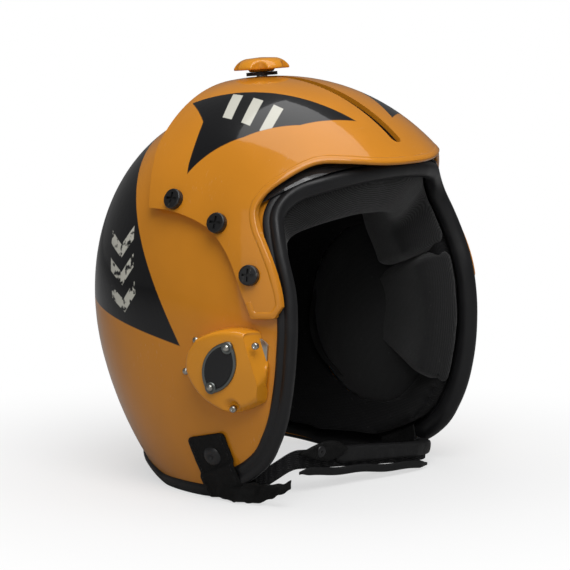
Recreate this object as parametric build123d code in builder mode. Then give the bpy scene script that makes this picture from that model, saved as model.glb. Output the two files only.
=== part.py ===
import os
from functools import cache
from math import cos, hypot, radians, sin, tan

from build123d import *

os.makedirs("parts", exist_ok=True)

# Pilot flight helmet in millimetres: wearer faces -Y, wearer's left is +X, the rim rests on z = 0

# Outer form: a superellipse turned about the visor axis, in four quarters that share their edges
pivot_y = -2.0
pivot_z = 106.0
shell_round = 136.0
shell_back = 112.0
shell_drop = 165.0
shell_half_width = 110.0
shell_pitch = 20.0
shell_fullness = 2.3
shell_wall = 3.2
meridian_steps = 9
pole_radius = 5.0

# Clearances and cutting helpers
fit_gap = 0.1
soft_gap = 0.3
cut_reach = 170.0

# Edge roll round the face opening and along the lower rim
roll_skin = 2.2
roll_flange = 9.0
bead_front = 4.0
bead_back = 4.5
bead_height = 4.0
nape_flange = 5.0
roll_corner = 16.0
rim_round = 30.0
arc_share = 0.45

# Visor housing over the brow
housing_round = 150.0
housing_half_width = 114.0
housing_wall = 3.0
lip_wall = 2.0
slot_width = 8.0
slot_spare_angle = 0.4

# Visor and its guides
visor_round = 142.0
visor_wall = 2.5
visor_half_width = 88.0
visor_outer_half_width = 111.2
visor_inner_half_width = 110.4
visor_clear = 0.5
swing_gap = 0.5
visor_heel_share = 0.58
notch_angle = 44.0
visor_top_angle = 99.0
visor_travel = 44.0
nose_notch_width = 46.0
nose_notch_height = 14.0
track_wall = 2.2
track_half_width = 11.0
track_margin_angle = 3.0
side_track_width = 3.0
side_track_share = 0.5
side_track_low_angle = 56.0

# Knob, its stud, washer and slide block
knob_angle = 95.0
knob_diameter = 36.0
knob_height = 9.4
knob_hub_diameter = 16.0
knob_hub_height = 1.6
knob_brim = 1.2
knob_bulge_shares = (0.42, 0.66)
knob_crown_shares = (0.27, 0.93)
knob_lobes = 5
knob_flute_diameter = 12.0
knob_flute_share = 0.18
stud_diameter = 7.0
stud_length = 15.0
stud_clearance = 0.05
stud_chamfer = 0.6
washer_diameter = 20.0
washer_height = 2.2
washer_lift = 0.5
block_width = 18.0
block_length = 17.0
block_height = 2.2

# Housing screws, seen from the side as (y, z) from the visor axis
screw_places = ((-3.5, 79.3), (-39.2, 67.3), (-65.5, 37.9))
screw_head_diameter = 12.7
screw_head_height = 3.8
screw_round = 1.2
screw_shank_diameter = 5.0
screw_shank_length = 18.0
drive_slot_share = 0.62
nut_width = 10.0
nut_height = 2.4
spacer_diameter = 8.0
drive_slot_width = 1.6
drive_slot_depth = 1.4

# Oxygen mask receivers low on each side
receiver_y = -52.5
receiver_z = -20.5
receiver_reach = 28.5
receiver_rise = 10.8
receiver_flare = 8.0
receiver_root_x = 86.0
receiver_depth = 34.0
plate_wall = 1.2
plate_setback = 2.0
receiver_setback = 1.5
receiver_slot_height = 18.0
receiver_slot_lift = -4.0
receiver_slot_depth = 19.0
receiver_slot_floor = 1.4
receiver_slot_roof = 9.3
catch_diameter = 3.0
receiver_screw_diameter = 4.0
receiver_screw_height = 1.6
receiver_screw_places = ((-22.0, 17.0), (-6.0, -23.0))
rivet_places = ((26.0, 15.5), (34.5, -4.5))
rivet_diameter = 4.4
rivet_height = 1.2

# Badge plate on each receiver
badge_length = 36.5
badge_width = 21.0
badge_wall = 1.2
badge_tilt = 25.0
badge_y = 0.5
badge_z = 2.3
badge_rivet_diameter = 4.4
badge_rivet_height = 1.4
badge_rivet_spacing = 28.0

# Energy liner and comfort pads
liner_wall = 14.0
liner_setback = 10.5
ear_y = -2.0
ear_z = -16.0
ear_cup_diameter = 86.0
ear_cup_depth = 17.0
ear_cup_wall = 2.5
earphone_diameter = 52.0
earphone_depth = 12.0
ear_pad_y = -8.0
ear_pad_depth = 27.0
ear_pad_length = 122.0
ear_pad_height = 140.0
ear_hole_diameter = 56.0
brow_pad_angle = 60.0
brow_pad_sink = 16.0
brow_pad_width = 160.0
brow_pad_height = 74.0
brow_pad_depth = 20.0
crown_pad_angle = 112.0
crown_pad_length = 120.0
crown_pad_width = 96.0
crown_pad_depth = 16.0
nape_pad_width = 120.0
nape_pad_height = 78.0
nape_pad_depth = 18.0
nape_pad_y = 84.0
nape_pad_z = -28.0
nape_pad_slope = 0.35

# Strap tabs, chin strap and its sleeve
tab_width = 29.0
tab_drop = 46.0
tab_top_y = -29.5
tab_top_z = -64.0
tab_lean = 13.0
tab_rise = 3.5
tab_tuck = 12.0
tab_wall = 2.0
tab_round = 4.0
snap_diameter = 13.0
snap_height = 1.5
snap_drop = 14.0
strap_thickness = 2.0
strap_height = 12.0
strap_base = 10.6
strap_lean = 5.0
strap_arc = 18.0
sleeve_wall = 3.5
sleeve_lip = 2.0
sleeve_from_x = -17.0
sleeve_to_x = 84.0
flap_shift = 4.0
flap_lift = 4.0
flap_snap_diameter = 8.0
flap_thickness = 1.8
flap_length = 27.0
flap_height = 13.0

# Outlines seen from the side, as (y, z) shares of the round radius from the visor axis
brow_line_shares = ((-0.89, 0.794), (-0.478, 0.603))
cheek_line_shares = ((-0.632, 0.206), (-0.651, 0.029), (-0.640, -0.191), (-0.596, -0.397),
                     (-0.507, -0.566), (-0.397, -0.654), (-0.162, -0.757))
rim_line_shares = ((0.170, -0.757), (0.610, -0.654), (1.050, -0.550))
outer_box_share = 1.4
housing_rim_shares = ((-0.860, 0.660), (-0.733, 0.683), (-0.630, 0.700), (-0.547, 0.695),
                      (-0.467, 0.627), (-0.420, 0.567), (-0.407, 0.507), (-0.433, 0.440),
                      (-0.473, 0.377), (-0.523, 0.287), (-0.560, 0.193), (-0.573, 0.133))
housing_tip_shares = ((-0.547, 0.087), (-0.453, 0.080))
housing_low_shares = ((-0.427, 0.140), (-0.387, 0.220), (-0.353, 0.287), (-0.293, 0.367),
                      (-0.230, 0.420), (-0.133, 0.460), (-0.040, 0.480), (0.113, 0.487))
housing_back_shares = ((0.187, 0.733), (0.187, 1.100))
visor_edge_shares = ((-0.880, 0.817), (-0.694, 0.721), (-0.613, 0.688), (-0.558, 0.658),
                     (-0.420, 0.562), (-0.250, 0.420))
receiver_shares = ((0.63, 0.63), (0.23, 0.80), (-0.20, 0.87), (-0.63, 0.80), (-0.93, 0.53),
                   (-1.0, 0.23), (-0.97, -0.20), (-0.83, -0.50), (-0.57, -0.70), (-0.13, -0.87),
                   (0.23, -0.77), (0.60, -0.53), (0.87, -0.13), (0.87, 0.27))
face_zone_shares = ((-1.3, 1.3), (-0.1, 1.3), (-0.1, 0.0), (-0.34, -0.34), (-0.34, -1.0),
                    (-1.3, -1.0))
bead_zone_shares = ((-1.3, 1.3), (-0.1, 1.3), (-0.1, 0.0), (-0.34, -0.44), (-0.41, -0.80),
                    (-0.41, -1.0), (-1.3, -1.0))
lip_zone_shares = ((-0.50, -0.10), (-0.48, 0.20), (-0.41, 0.33), (-0.30, 0.55), (-0.10, 0.80),
                   (0.0, 1.20), (0.40, 1.20), (0.40, -0.10))
strap_points = ((-83.0, -47.0), (-68.0, -53.0), (-38.0, -58.0), (2.0, -64.0), (48.0, -70.0),
                (72.0, -66.0), (83.0, -49.0))

side_plane = Plane(origin=(0, pivot_y, pivot_z), x_dir=(0, 1, 0), z_dir=(1, 0, 0))
back_axis = Axis((0, pivot_y, pivot_z), (-1, 0, 0))


def from_shares(shares, size):
    return [(y_share * size, z_share * size) for y_share, z_share in shares]


def meridian_x(reach, radius, half_width):
    """Half width of a meridian where it stands reach away from its axis."""
    return half_width * (1 - (reach / radius) ** shell_fullness) ** (1 / shell_fullness)


def half_section(radius, half_width):
    """Flat half section with its straight side on the X axis and a small flat at each pole."""
    power = 2 / shell_fullness
    pole_x = meridian_x(pole_radius, radius, half_width)
    points = [(-pole_x, pole_radius)]
    for step in range(1, 2 * meridian_steps):
        turn = radians(90.0 * step / meridian_steps)
        height = radius * sin(turn) ** power
        across = half_width * abs(cos(turn)) ** power
        if height > 2 * pole_radius:
            points.append((across if step > meridian_steps else -across, height))
    points.append((pole_x, pole_radius))
    with BuildSketch(Plane.XZ) as section:
        with BuildLine():
            Spline(*points)
            Polyline((pole_x, pole_radius), (pole_x, 0), (-pole_x, 0), (-pole_x, pole_radius))
        make_face()
    return section.sketch


@cache
def helmet_form(grow):
    """Closed solid of the outer form, grown outwards, or inwards where grow is negative."""
    round_radius = shell_round + grow
    back_share = (shell_back + grow) / round_radius
    drop_share = (shell_drop + grow) / round_radius
    crown = revolve(half_section(round_radius, shell_half_width + grow), Axis.X, 90)
    back = mirror(scale(crown, by=(1, back_share, 1)), about=Plane.XZ)
    face = mirror(scale(crown, by=(1, 1, drop_share)), about=Plane.XY)
    nape = Rot(X=180) * scale(crown, by=(1, back_share, drop_share))
    upper = crown + back
    lower = face + nape
    whole = upper + lower
    return Location((0, pivot_y, pivot_z), (-shell_pitch, 0, 0)) * whole


@cache
def helmet_band(low, high):
    """Layer of the outer form between two grown forms."""
    return helmet_form(high) - helmet_form(low)


def form_x(y, z, grow):
    """Half width of the grown outer form at a side view place measured from the visor axis."""
    fore = y * cos(radians(shell_pitch)) - z * sin(radians(shell_pitch))
    rise = y * sin(radians(shell_pitch)) + z * cos(radians(shell_pitch))
    length = (shell_round if fore < 0 else shell_back) + grow
    height = (shell_round if rise > 0 else shell_drop) + grow
    return meridian_x(hypot(fore / length, rise / height), 1, shell_half_width + grow)


def turned_form(radius, half_width):
    """Closed solid of the meridian turned all the way about the visor axis."""
    return Pos(0, pivot_y, pivot_z) * revolve(half_section(radius, half_width), Axis.X, 360)


def housing_plane(y, z):
    """Plane on the housing's left side, its normal square to the surface."""
    reach = hypot(y, z)
    x = meridian_x(reach, housing_round, housing_half_width)
    slope_x = x ** (shell_fullness - 1) / housing_half_width ** shell_fullness
    slope_out = reach ** (shell_fullness - 1) / housing_round ** shell_fullness
    normal = (slope_x, slope_out * y / reach, slope_out * z / reach)
    return Plane(origin=(x, pivot_y + y, pivot_z + z), z_dir=normal)


def radial_plane(angle, radius):
    """Plane over the crown that faces straight out from the visor axis; angle 0 is ahead."""
    out_y = -cos(radians(angle))
    out_z = sin(radians(angle))
    origin = (0, pivot_y + radius * out_y, pivot_z + radius * out_z)
    return Plane(origin=origin, x_dir=(1, 0, 0), z_dir=(0, out_y, out_z))


def sector(low_x, high_x, low_radius, high_radius, low_angle, high_angle):
    """Block turned about the visor axis between two angles."""
    start = Plane(origin=(0, pivot_y, pivot_z), x_dir=(1, 0, 0),
                  z_dir=(0, -sin(radians(low_angle)), -cos(radians(low_angle))))
    with BuildSketch(start) as section:
        with BuildLine():
            Polyline((low_x, low_radius), (high_x, low_radius), (high_x, high_radius),
                     (low_x, high_radius), close=True)
        make_face()
    return revolve(section.sketch, back_axis, high_angle - low_angle)


def corner_radii(points):
    """Radius for each inner corner of a path, as large as the runs beside it allow."""
    radii = []
    for before, corner, after in zip(points, points[1:], points[2:]):
        run_in = Vector(*corner) - Vector(*before)
        run_out = Vector(*after) - Vector(*corner)
        half_turn = radians(run_in.get_angle(run_out) / 2)
        radii.append(arc_share * min(run_in.length, run_out.length) / tan(half_turn))
    return radii


def kept_outline(shift):
    """Side view of what the face opening and lower rim leave, moved outwards by shift."""
    brow = from_shares(brow_line_shares, shell_round)
    cheek = from_shares(cheek_line_shares, shell_round)
    rim = from_shares(rim_line_shares, shell_round)
    box = outer_box_share * shell_round
    path = brow + cheek + rim
    rim_corners = len(rim)
    radii = [roll_corner] + corner_radii(path)[1:-rim_corners] + [rim_round] * rim_corners
    with BuildSketch(side_plane) as outline:
        with BuildLine():
            FilletPolyline(*path, radius=radii)
            Polyline(rim[-1], (box, rim[-1][1]), (box, box), (brow[0][0], box), brow[0])
        make_face()
        if shift:
            offset(amount=shift, kind=Kind.INTERSECTION)
    return outline.sketch


def side_polygon(points):
    """Side view sketch with straight edges, from places measured from the visor axis."""
    with BuildSketch(side_plane) as outline:
        with BuildLine():
            Polyline(*points, close=True)
        make_face()
    return outline.sketch


def slab(sketch):
    """Prism of a side view sketch through the whole width."""
    return extrude(sketch, amount=cut_reach, both=True)


def rim_band(shift):
    """Prism of everything that the face opening and lower rim leave, moved outwards by shift."""
    return slab(kept_outline(shift))


def side_pin(y, z, diameter):
    """Round prism along X on the left side, at a side view place from the visor axis."""
    centre = Plane(origin=(0, pivot_y + y, pivot_z + z), x_dir=(0, 1, 0), z_dir=(1, 0, 0))
    with BuildSketch(centre) as round_section:
        Circle(diameter / 2)
    return extrude(round_section.sketch, amount=cut_reach)


def pillow(plane, width, length, depth):
    """Crowned closed form, as wide and long as given, that rises depth from its middle plane."""
    return plane.location * scale(Sphere(1), by=(width / 2, length / 2, depth))


def save(part, name):
    part.label = name
    export_step(part, f"parts/{name}.step")


def save_pair(part, name):
    """Write the wearer's left piece and its mirrored right twin."""
    save(part, f"{name}_left")
    save(mirror(part, about=Plane.YZ), f"{name}_right")


# Closed forms, made once, that several pieces are cut from
shell_band = rim_band(0)
shell_layer = helmet_band(-shell_wall, 0)
shell_room = helmet_band(-shell_wall - fit_gap, fit_gap) & rim_band(fit_gap)
housing_outside = turned_form(housing_round, housing_half_width)
housing_inside = turned_form(housing_round - housing_wall, housing_half_width - housing_wall)
floor_cut = Pos(0, 0, -cut_reach) * Box(2 * cut_reach, 2 * cut_reach, 2 * cut_reach)

# Screws that hold the visor housing, with their spacers and nuts; made on the left and mirrored
screw_planes = [housing_plane(y, z) for y, z in screw_places]
track_roof = turned_form(housing_round - housing_wall - fit_gap,
                         housing_half_width - housing_wall - fit_gap)
spacer_floor = helmet_form(fit_gap)
nut_layer = helmet_band(-shell_wall - nut_height - fit_gap, -shell_wall - fit_gap)

on_base = (Align.CENTER, Align.CENTER, Align.MIN)
under_base = (Align.CENTER, Align.CENTER, Align.MAX)
with BuildPart() as screw_head:
    Cylinder(screw_head_diameter / 2, screw_head_height, align=on_base)
    fillet(screw_head.edges().group_by(Axis.Z)[-1], screw_round)
    with BuildSketch(Plane.XY.offset(screw_head_height - drive_slot_depth)):
        Rectangle(screw_head_diameter * drive_slot_share, drive_slot_width)
        Rectangle(drive_slot_width, screw_head_diameter * drive_slot_share)
    extrude(amount=drive_slot_depth, mode=Mode.SUBTRACT)
    Cylinder(screw_shank_diameter / 2, screw_shank_length, align=under_base)

with BuildPart() as screw_hole:
    Cylinder(screw_shank_diameter / 2 + fit_gap, 2 * screw_shank_length)

with BuildPart() as spacer_blank:
    Cylinder(spacer_diameter / 2, screw_shank_length, align=under_base)
    Cylinder(screw_shank_diameter / 2 + fit_gap, screw_shank_length, align=under_base,
             mode=Mode.SUBTRACT)

with BuildPart() as spacer_room:
    Cylinder(spacer_diameter / 2 + soft_gap, screw_shank_length, align=under_base)

with BuildPart() as nut_blank:
    with BuildSketch():
        RegularPolygon(nut_width / 2, 6)
    extrude(amount=-screw_shank_length - nut_height)

with BuildPart() as nut_room:
    Cylinder(nut_width / 2 + soft_gap, screw_shank_length + nut_height, align=under_base)


def at_screws(piece, lift):
    """Copies of a piece at the left screws, lifted off the housing by lift."""
    return [plane.offset(lift).location * piece.part for plane in screw_planes]


screws = at_screws(screw_head, fit_gap)
hole_cuts = at_screws(screw_hole, 0)
spacer_blanks = at_screws(spacer_blank, -housing_wall - 2 * fit_gap)
spacer_cuts = at_screws(spacer_room, -housing_wall - fit_gap)
nut_blanks = at_screws(nut_blank, 0)
nut_cuts = at_screws(nut_room, 0)

with BuildPart() as screw_holes:
    add(hole_cuts)
    mirror(about=Plane.YZ)

with BuildPart() as housing_screws:
    add(screws)
    mirror(about=Plane.YZ)
save(housing_screws.part, "housing_screws")

with BuildPart() as housing_spacers:
    add(spacer_blanks)
    add(spacer_floor, mode=Mode.SUBTRACT)
    mirror(about=Plane.YZ)
save(housing_spacers.part, "housing_spacers")

with BuildPart() as screw_nuts:
    add(nut_blanks)
    add(nut_layer, mode=Mode.INTERSECT)
    add(hole_cuts, mode=Mode.SUBTRACT)
    mirror(about=Plane.YZ)
save(screw_nuts.part, "screw_nuts")

with BuildPart() as spacer_rooms:
    add(spacer_cuts)
    mirror(about=Plane.YZ)

with BuildPart() as nut_rooms:
    add(nut_cuts)
    mirror(about=Plane.YZ)

# Outer shell
with BuildPart() as outer_shell:
    add(shell_layer)
    add(shell_band, mode=Mode.INTERSECT)
    add(screw_holes.part, mode=Mode.SUBTRACT)
save(outer_shell.part, "outer_shell")

# Visor edge outline, and the space above the brow that the swinging visor needs
visor_edge = from_shares(visor_edge_shares, visor_round)
swing_floor = turned_form(visor_round - visor_wall - swing_gap, visor_inner_half_width - swing_gap)
swing_block = (Pos(0, pivot_y - cut_reach, pivot_z + cut_reach)
               * Box(2 * (visor_half_width + bead_height), 2 * cut_reach, 2 * cut_reach))
swing_room = swing_block - swing_floor

# Rubber edge roll: a thin channel over the shell edge, with a thick bead round the face
face_zone = slab(side_polygon(from_shares(face_zone_shares, shell_round)))
flange_strip = (rim_band(bead_front) - rim_band(-roll_flange)) & face_zone
bead_zone = slab(side_polygon(from_shares(bead_zone_shares, shell_round)))
bead_strip = (rim_band(bead_front) - rim_band(-bead_back)) & bead_zone
nape_strip = (rim_band(bead_front) - rim_band(-nape_flange)) - face_zone
roll_layer = helmet_band(-shell_wall - roll_skin, roll_skin)
bead_layer = helmet_band(-shell_wall - bead_height, bead_height)

with BuildPart() as face_edge_roll:
    add(roll_layer)
    add(flange_strip, mode=Mode.INTERSECT)
    add(bead_layer & bead_strip)
    add(swing_room, mode=Mode.SUBTRACT)
    add(shell_room, mode=Mode.SUBTRACT)
save(face_edge_roll.part, "face_edge_roll")

with BuildPart() as nape_edge_roll:
    add(roll_layer)
    add(nape_strip, mode=Mode.INTERSECT)
    add(floor_cut, mode=Mode.SUBTRACT)
    add(shell_room, mode=Mode.SUBTRACT)
save(nape_edge_roll.part, "nape_edge_roll")

# Visor housing, closed down to the shell along its back and lower edges
housing_rim = from_shares(housing_rim_shares, housing_round)
housing_tip = from_shares(housing_tip_shares, housing_round)
housing_low = from_shares(housing_low_shares, housing_round)
housing_back = from_shares(housing_back_shares, housing_round)
slot_low_angle = knob_angle - visor_travel - slot_spare_angle
slot_high_angle = knob_angle + slot_spare_angle

with BuildSketch(side_plane) as housing_outline:
    with BuildLine():
        Spline(*housing_rim)
        Polyline(housing_rim[-1], housing_tip[0], housing_tip[1], housing_low[0])
        Spline(*housing_low)
        Polyline(housing_low[-1], housing_back[0], housing_back[1],
                 (housing_rim[0][0], housing_back[1][1]), housing_rim[0])
    make_face()
housing_band = slab(housing_outline.sketch)
lip_zone = slab(side_polygon(from_shares(lip_zone_shares, housing_round)))
lip_band = (housing_band - Pos(0, -lip_wall, lip_wall) * housing_band) & lip_zone

slot_sweep = sector(-slot_width / 2, slot_width / 2, visor_round + fit_gap,
                    housing_round + slot_width, slot_low_angle, slot_high_angle)
with BuildPart() as slot_cut:
    for angle in (slot_low_angle, slot_high_angle):
        with BuildSketch(radial_plane(angle, visor_round + fit_gap)):
            Circle(slot_width / 2)
    extrude(amount=housing_round + slot_width - visor_round)
    add(slot_sweep)

lip_floor = helmet_form(fit_gap)
flange_room = helmet_form(roll_skin + soft_gap) - rim_band(-roll_flange - soft_gap)
bead_room = helmet_form(bead_height + soft_gap) - rim_band(-bead_back - soft_gap)
with BuildPart() as visor_housing:
    add(housing_inside)
    add(lip_floor, mode=Mode.SUBTRACT)
    add(lip_band, mode=Mode.INTERSECT)
    add(spacer_rooms.part, mode=Mode.SUBTRACT)
    add((housing_outside - housing_inside) & housing_band)
    add(flange_room, mode=Mode.SUBTRACT)
    add(bead_room, mode=Mode.SUBTRACT)
    add(slot_cut.part, mode=Mode.SUBTRACT)
    add(screw_holes.part, mode=Mode.SUBTRACT)
save(visor_housing.part, "visor_housing")

# Visor lens, its guides and the slide block that the knob pulls
top_y = sin(radians(visor_top_angle - 90.0))
top_z = cos(radians(visor_top_angle - 90.0))
visor_back = from_shares(((top_y * visor_heel_share, top_z * visor_heel_share),
                          (top_y * outer_box_share, top_z * outer_box_share)), visor_round)
visor_slab = slab(side_polygon(visor_edge + visor_back + [(visor_edge[0][0], visor_back[1][1])]))
visor_layer = (turned_form(visor_round, visor_outer_half_width)
               - turned_form(visor_round - visor_wall, visor_inner_half_width))
visor_width_block = (Pos(0, pivot_y, pivot_z)
                     * Box(2 * visor_half_width, 2 * cut_reach, 2 * cut_reach))

with BuildPart() as visor_lens:
    add(visor_layer)
    add(visor_slab, mode=Mode.INTERSECT)
    add(visor_width_block, mode=Mode.INTERSECT)
    with BuildSketch(radial_plane(notch_angle, visor_round - nose_notch_height)):
        Ellipse(nose_notch_width / 2, nose_notch_height)
    extrude(amount=2 * nose_notch_height, mode=Mode.SUBTRACT)
save(visor_lens.part, "visor_lens")

track_top = housing_round - housing_wall - soft_gap
track_sweep = sector(-track_half_width, track_half_width, track_top - track_wall, track_top,
                     slot_low_angle - track_margin_angle, slot_high_angle + track_margin_angle)
with BuildPart() as visor_centre_track:
    add(track_sweep)
    add(track_roof, mode=Mode.INTERSECT)
    add(slot_cut.part, mode=Mode.SUBTRACT)
save(visor_centre_track.part, "visor_centre_track")

side_track_x = visor_half_width + visor_clear
side_sweep = sector(side_track_x, side_track_x + side_track_width,
                    shell_round * side_track_share, housing_round,
                    side_track_low_angle, visor_top_angle)
side_track_floor = helmet_form(2 * fit_gap)
with BuildPart() as visor_side_track:
    add(side_sweep)
    add(track_roof, mode=Mode.INTERSECT)
    add(side_track_floor, mode=Mode.SUBTRACT)
save_pair(visor_side_track.part, "visor_side_track")

stud_plane = radial_plane(knob_angle, visor_round + 2 * fit_gap)
stud_top = visor_round + 2 * fit_gap + stud_length
washer_plane = radial_plane(knob_angle, housing_round + washer_lift)
knob_floor = housing_round + washer_lift + washer_height + fit_gap
knob_plane = radial_plane(knob_angle, knob_floor)

block_angle = block_length / 2 / radians(visor_round)
block_sweep = sector(-block_width / 2, block_width / 2, visor_round + fit_gap,
                     visor_round + fit_gap + block_height, knob_angle - block_angle,
                     knob_angle + block_angle)
with BuildPart() as visor_slide_block:
    add(block_sweep)
    with BuildSketch(radial_plane(knob_angle, visor_round)):
        Circle(stud_diameter / 2 + stud_clearance)
    extrude(amount=stud_length, mode=Mode.SUBTRACT)
save(visor_slide_block.part, "visor_slide_block")

with BuildPart() as knob_stud:
    with BuildSketch(stud_plane):
        Circle(stud_diameter / 2)
    extrude(amount=stud_length)
    chamfer(knob_stud.edges().group_by(Axis.Z)[-1], stud_chamfer)
save(knob_stud.part, "knob_stud")

with BuildPart() as knob_washer:
    with BuildSketch(washer_plane):
        Circle(washer_diameter / 2)
        Circle(stud_diameter / 2 + stud_clearance, mode=Mode.SUBTRACT)
    extrude(amount=washer_height)
save(knob_washer.part, "knob_washer")

# Knob: a domed cap with finger flutes and a short hub, bored for the stud
knob_section = Plane(origin=knob_plane.origin, x_dir=(1, 0, 0), z_dir=-knob_plane.y_dir)
brim_top = knob_hub_height + knob_brim
with BuildPart() as visor_knob:
    with BuildSketch(knob_section):
        with BuildLine():
            Polyline((0, 0), (knob_hub_diameter / 2, 0), (knob_hub_diameter / 2, knob_hub_height),
                     (knob_diameter / 2, knob_hub_height), (knob_diameter / 2, brim_top))
            ThreePointArc(
                (knob_diameter / 2, brim_top),
                (knob_diameter * knob_bulge_shares[0], knob_height * knob_bulge_shares[1]),
                (knob_diameter * knob_crown_shares[0], knob_height * knob_crown_shares[1]))
            Polyline((knob_diameter * knob_crown_shares[0], knob_height * knob_crown_shares[1]),
                     (0, knob_height), (0, 0))
        make_face()
    revolve(axis=Axis(knob_plane.origin, knob_plane.z_dir))
    with BuildSketch(knob_plane.offset(knob_hub_height)):
        with PolarLocations(knob_diameter / 2 + knob_flute_diameter * knob_flute_share, knob_lobes):
            Circle(knob_flute_diameter / 2)
    extrude(amount=knob_height, mode=Mode.SUBTRACT)
    with BuildSketch(knob_plane):
        Circle(stud_diameter / 2 + stud_clearance)
    extrude(amount=stud_top + soft_gap - knob_floor, mode=Mode.SUBTRACT)
save(visor_knob.part, "visor_knob")

# Oxygen mask receivers: base plate, cast cover with a bayonet slot, catch pin, screws and rivets
receiver_plane = Plane(origin=(receiver_root_x, pivot_y + receiver_y, pivot_z + receiver_z),
                       x_dir=(0, 1, 0), z_dir=(1, 0, 0))
flare_shift = (shell_half_width + receiver_rise - receiver_root_x) * tan(radians(receiver_flare))
slot_front_y = receiver_y - receiver_reach
slot_middle_z = pivot_z + receiver_z + receiver_slot_lift


def receiver_outline(reach):
    """Rounded side view of the receiver at the given forward reach."""
    with BuildSketch(receiver_plane) as outline:
        with BuildLine():
            Spline(*from_shares(receiver_shares, reach), periodic=True)
        make_face()
    return outline.sketch


plate_prism = extrude(receiver_outline(receiver_reach - plate_setback), amount=cut_reach)
plate_layer = helmet_band(fit_gap, fit_gap + plate_wall)
plate_zone = rim_band(-roll_flange - receiver_setback - plate_setback)
with BuildPart() as receiver_plate:
    add(plate_prism)
    add(plate_layer, mode=Mode.INTERSECT)
    add(plate_zone, mode=Mode.INTERSECT)
save_pair(receiver_plate.part, "receiver_plate")

cover_floor = fit_gap + plate_wall + fit_gap
cover_prism = extrude(receiver_outline(receiver_reach + flare_shift), amount=receiver_depth,
                      taper=receiver_flare)
cover_layer = helmet_band(cover_floor, receiver_rise)
slot_layer = helmet_band(receiver_slot_floor, receiver_slot_roof)
slot_block = (Pos(shell_half_width, pivot_y + slot_front_y, slot_middle_z)
              * Box(2 * receiver_reach, 2 * receiver_slot_depth, receiver_slot_height))
cover_zone = rim_band(-roll_flange - receiver_setback)
with BuildPart() as receiver_cover:
    add(cover_prism)
    add(cover_layer, mode=Mode.INTERSECT)
    add(cover_zone, mode=Mode.INTERSECT)
    add(slot_layer & slot_block, mode=Mode.SUBTRACT)
save_pair(receiver_cover.part, "receiver_cover")

catch_y = slot_front_y + receiver_slot_depth - catch_diameter
catch_x = form_x(catch_y, slot_middle_z - pivot_z, (receiver_slot_floor + receiver_slot_roof) / 2)
with BuildPart() as receiver_catch:
    with BuildSketch(Plane.XY.offset(slot_middle_z - receiver_slot_height / 2 + fit_gap)):
        with Locations((catch_x, pivot_y + catch_y)):
            Circle(catch_diameter / 2)
    extrude(amount=receiver_slot_height - 2 * fit_gap)
save_pair(receiver_catch.part, "receiver_catch")

screw_pins = [side_pin(receiver_y + y, receiver_z + z, receiver_screw_diameter)
              for y, z in receiver_screw_places]
screw_layer = helmet_band(receiver_rise + fit_gap, receiver_rise + fit_gap + receiver_screw_height)
with BuildPart() as receiver_screws:
    add(screw_pins)
    add(screw_layer, mode=Mode.INTERSECT)
    mirror(about=Plane.YZ)
save(receiver_screws.part, "receiver_screws")

rivet_pins = [side_pin(receiver_y + y, receiver_z + z, rivet_diameter) for y, z in rivet_places]
rivet_layer = helmet_band(fit_gap, fit_gap + rivet_height)
with BuildPart() as receiver_rivets:
    add(rivet_pins)
    add(rivet_layer, mode=Mode.INTERSECT)
    mirror(about=Plane.YZ)
save(receiver_rivets.part, "receiver_rivets")

# Blank badge plates with two rivets each
badge_plane = Plane(origin=(0, pivot_y + receiver_y + badge_y, pivot_z + receiver_z + badge_z),
                    x_dir=(0, cos(radians(badge_tilt)), sin(radians(badge_tilt))), z_dir=(1, 0, 0))
badge_floor = receiver_rise + fit_gap
badge_layer = helmet_band(badge_floor, badge_floor + badge_wall)
with BuildPart() as badge_plate:
    with BuildSketch(badge_plane):
        with BuildLine():
            ThreePointArc((0, -badge_length / 2), (badge_width / 2, 0), (0, badge_length / 2))
            ThreePointArc((0, badge_length / 2), (-badge_width / 2, 0), (0, -badge_length / 2))
        make_face()
        with Locations((0, badge_rivet_spacing / 2), (0, -badge_rivet_spacing / 2)):
            Circle(badge_rivet_diameter / 2 + badge_wall)
    extrude(amount=cut_reach)
    add(badge_layer, mode=Mode.INTERSECT)
save_pair(badge_plate.part, "badge_plate")

rivet_floor = badge_floor + badge_wall + fit_gap
rivet_roof_layer = helmet_band(rivet_floor, rivet_floor + badge_rivet_height)
with BuildPart() as badge_rivets:
    with BuildSketch(badge_plane):
        with Locations((0, badge_rivet_spacing / 2), (0, -badge_rivet_spacing / 2)):
            Circle(badge_rivet_diameter / 2)
    extrude(amount=cut_reach)
    add(rivet_roof_layer, mode=Mode.INTERSECT)
    mirror(about=Plane.YZ)
save(badge_rivets.part, "badge_rivets")

# Hard cups behind the ears, with an earphone in each
cup_top = shell_wall + soft_gap
cup_floor = cup_top + ear_cup_depth
cup_pin = side_pin(ear_y, ear_z, ear_cup_diameter)
cup_hollow = side_pin(ear_y, ear_z, ear_cup_diameter - 2 * ear_cup_wall)
cup_layer = helmet_band(-cup_floor, -cup_top)
cup_roof = helmet_form(-cup_top - ear_cup_wall)
with BuildPart() as ear_cup:
    add(cup_pin)
    add(cup_layer, mode=Mode.INTERSECT)
    add(cup_hollow & cup_roof, mode=Mode.SUBTRACT)
save_pair(ear_cup.part, "ear_cup")

earphone_top = cup_top + ear_cup_wall + fit_gap
earphone_pin = side_pin(ear_y, ear_z, earphone_diameter)
earphone_layer = helmet_band(-earphone_top - earphone_depth, -earphone_top)
with BuildPart() as earphone:
    add(earphone_pin)
    add(earphone_layer, mode=Mode.INTERSECT)
save_pair(earphone.part, "earphone")

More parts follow.
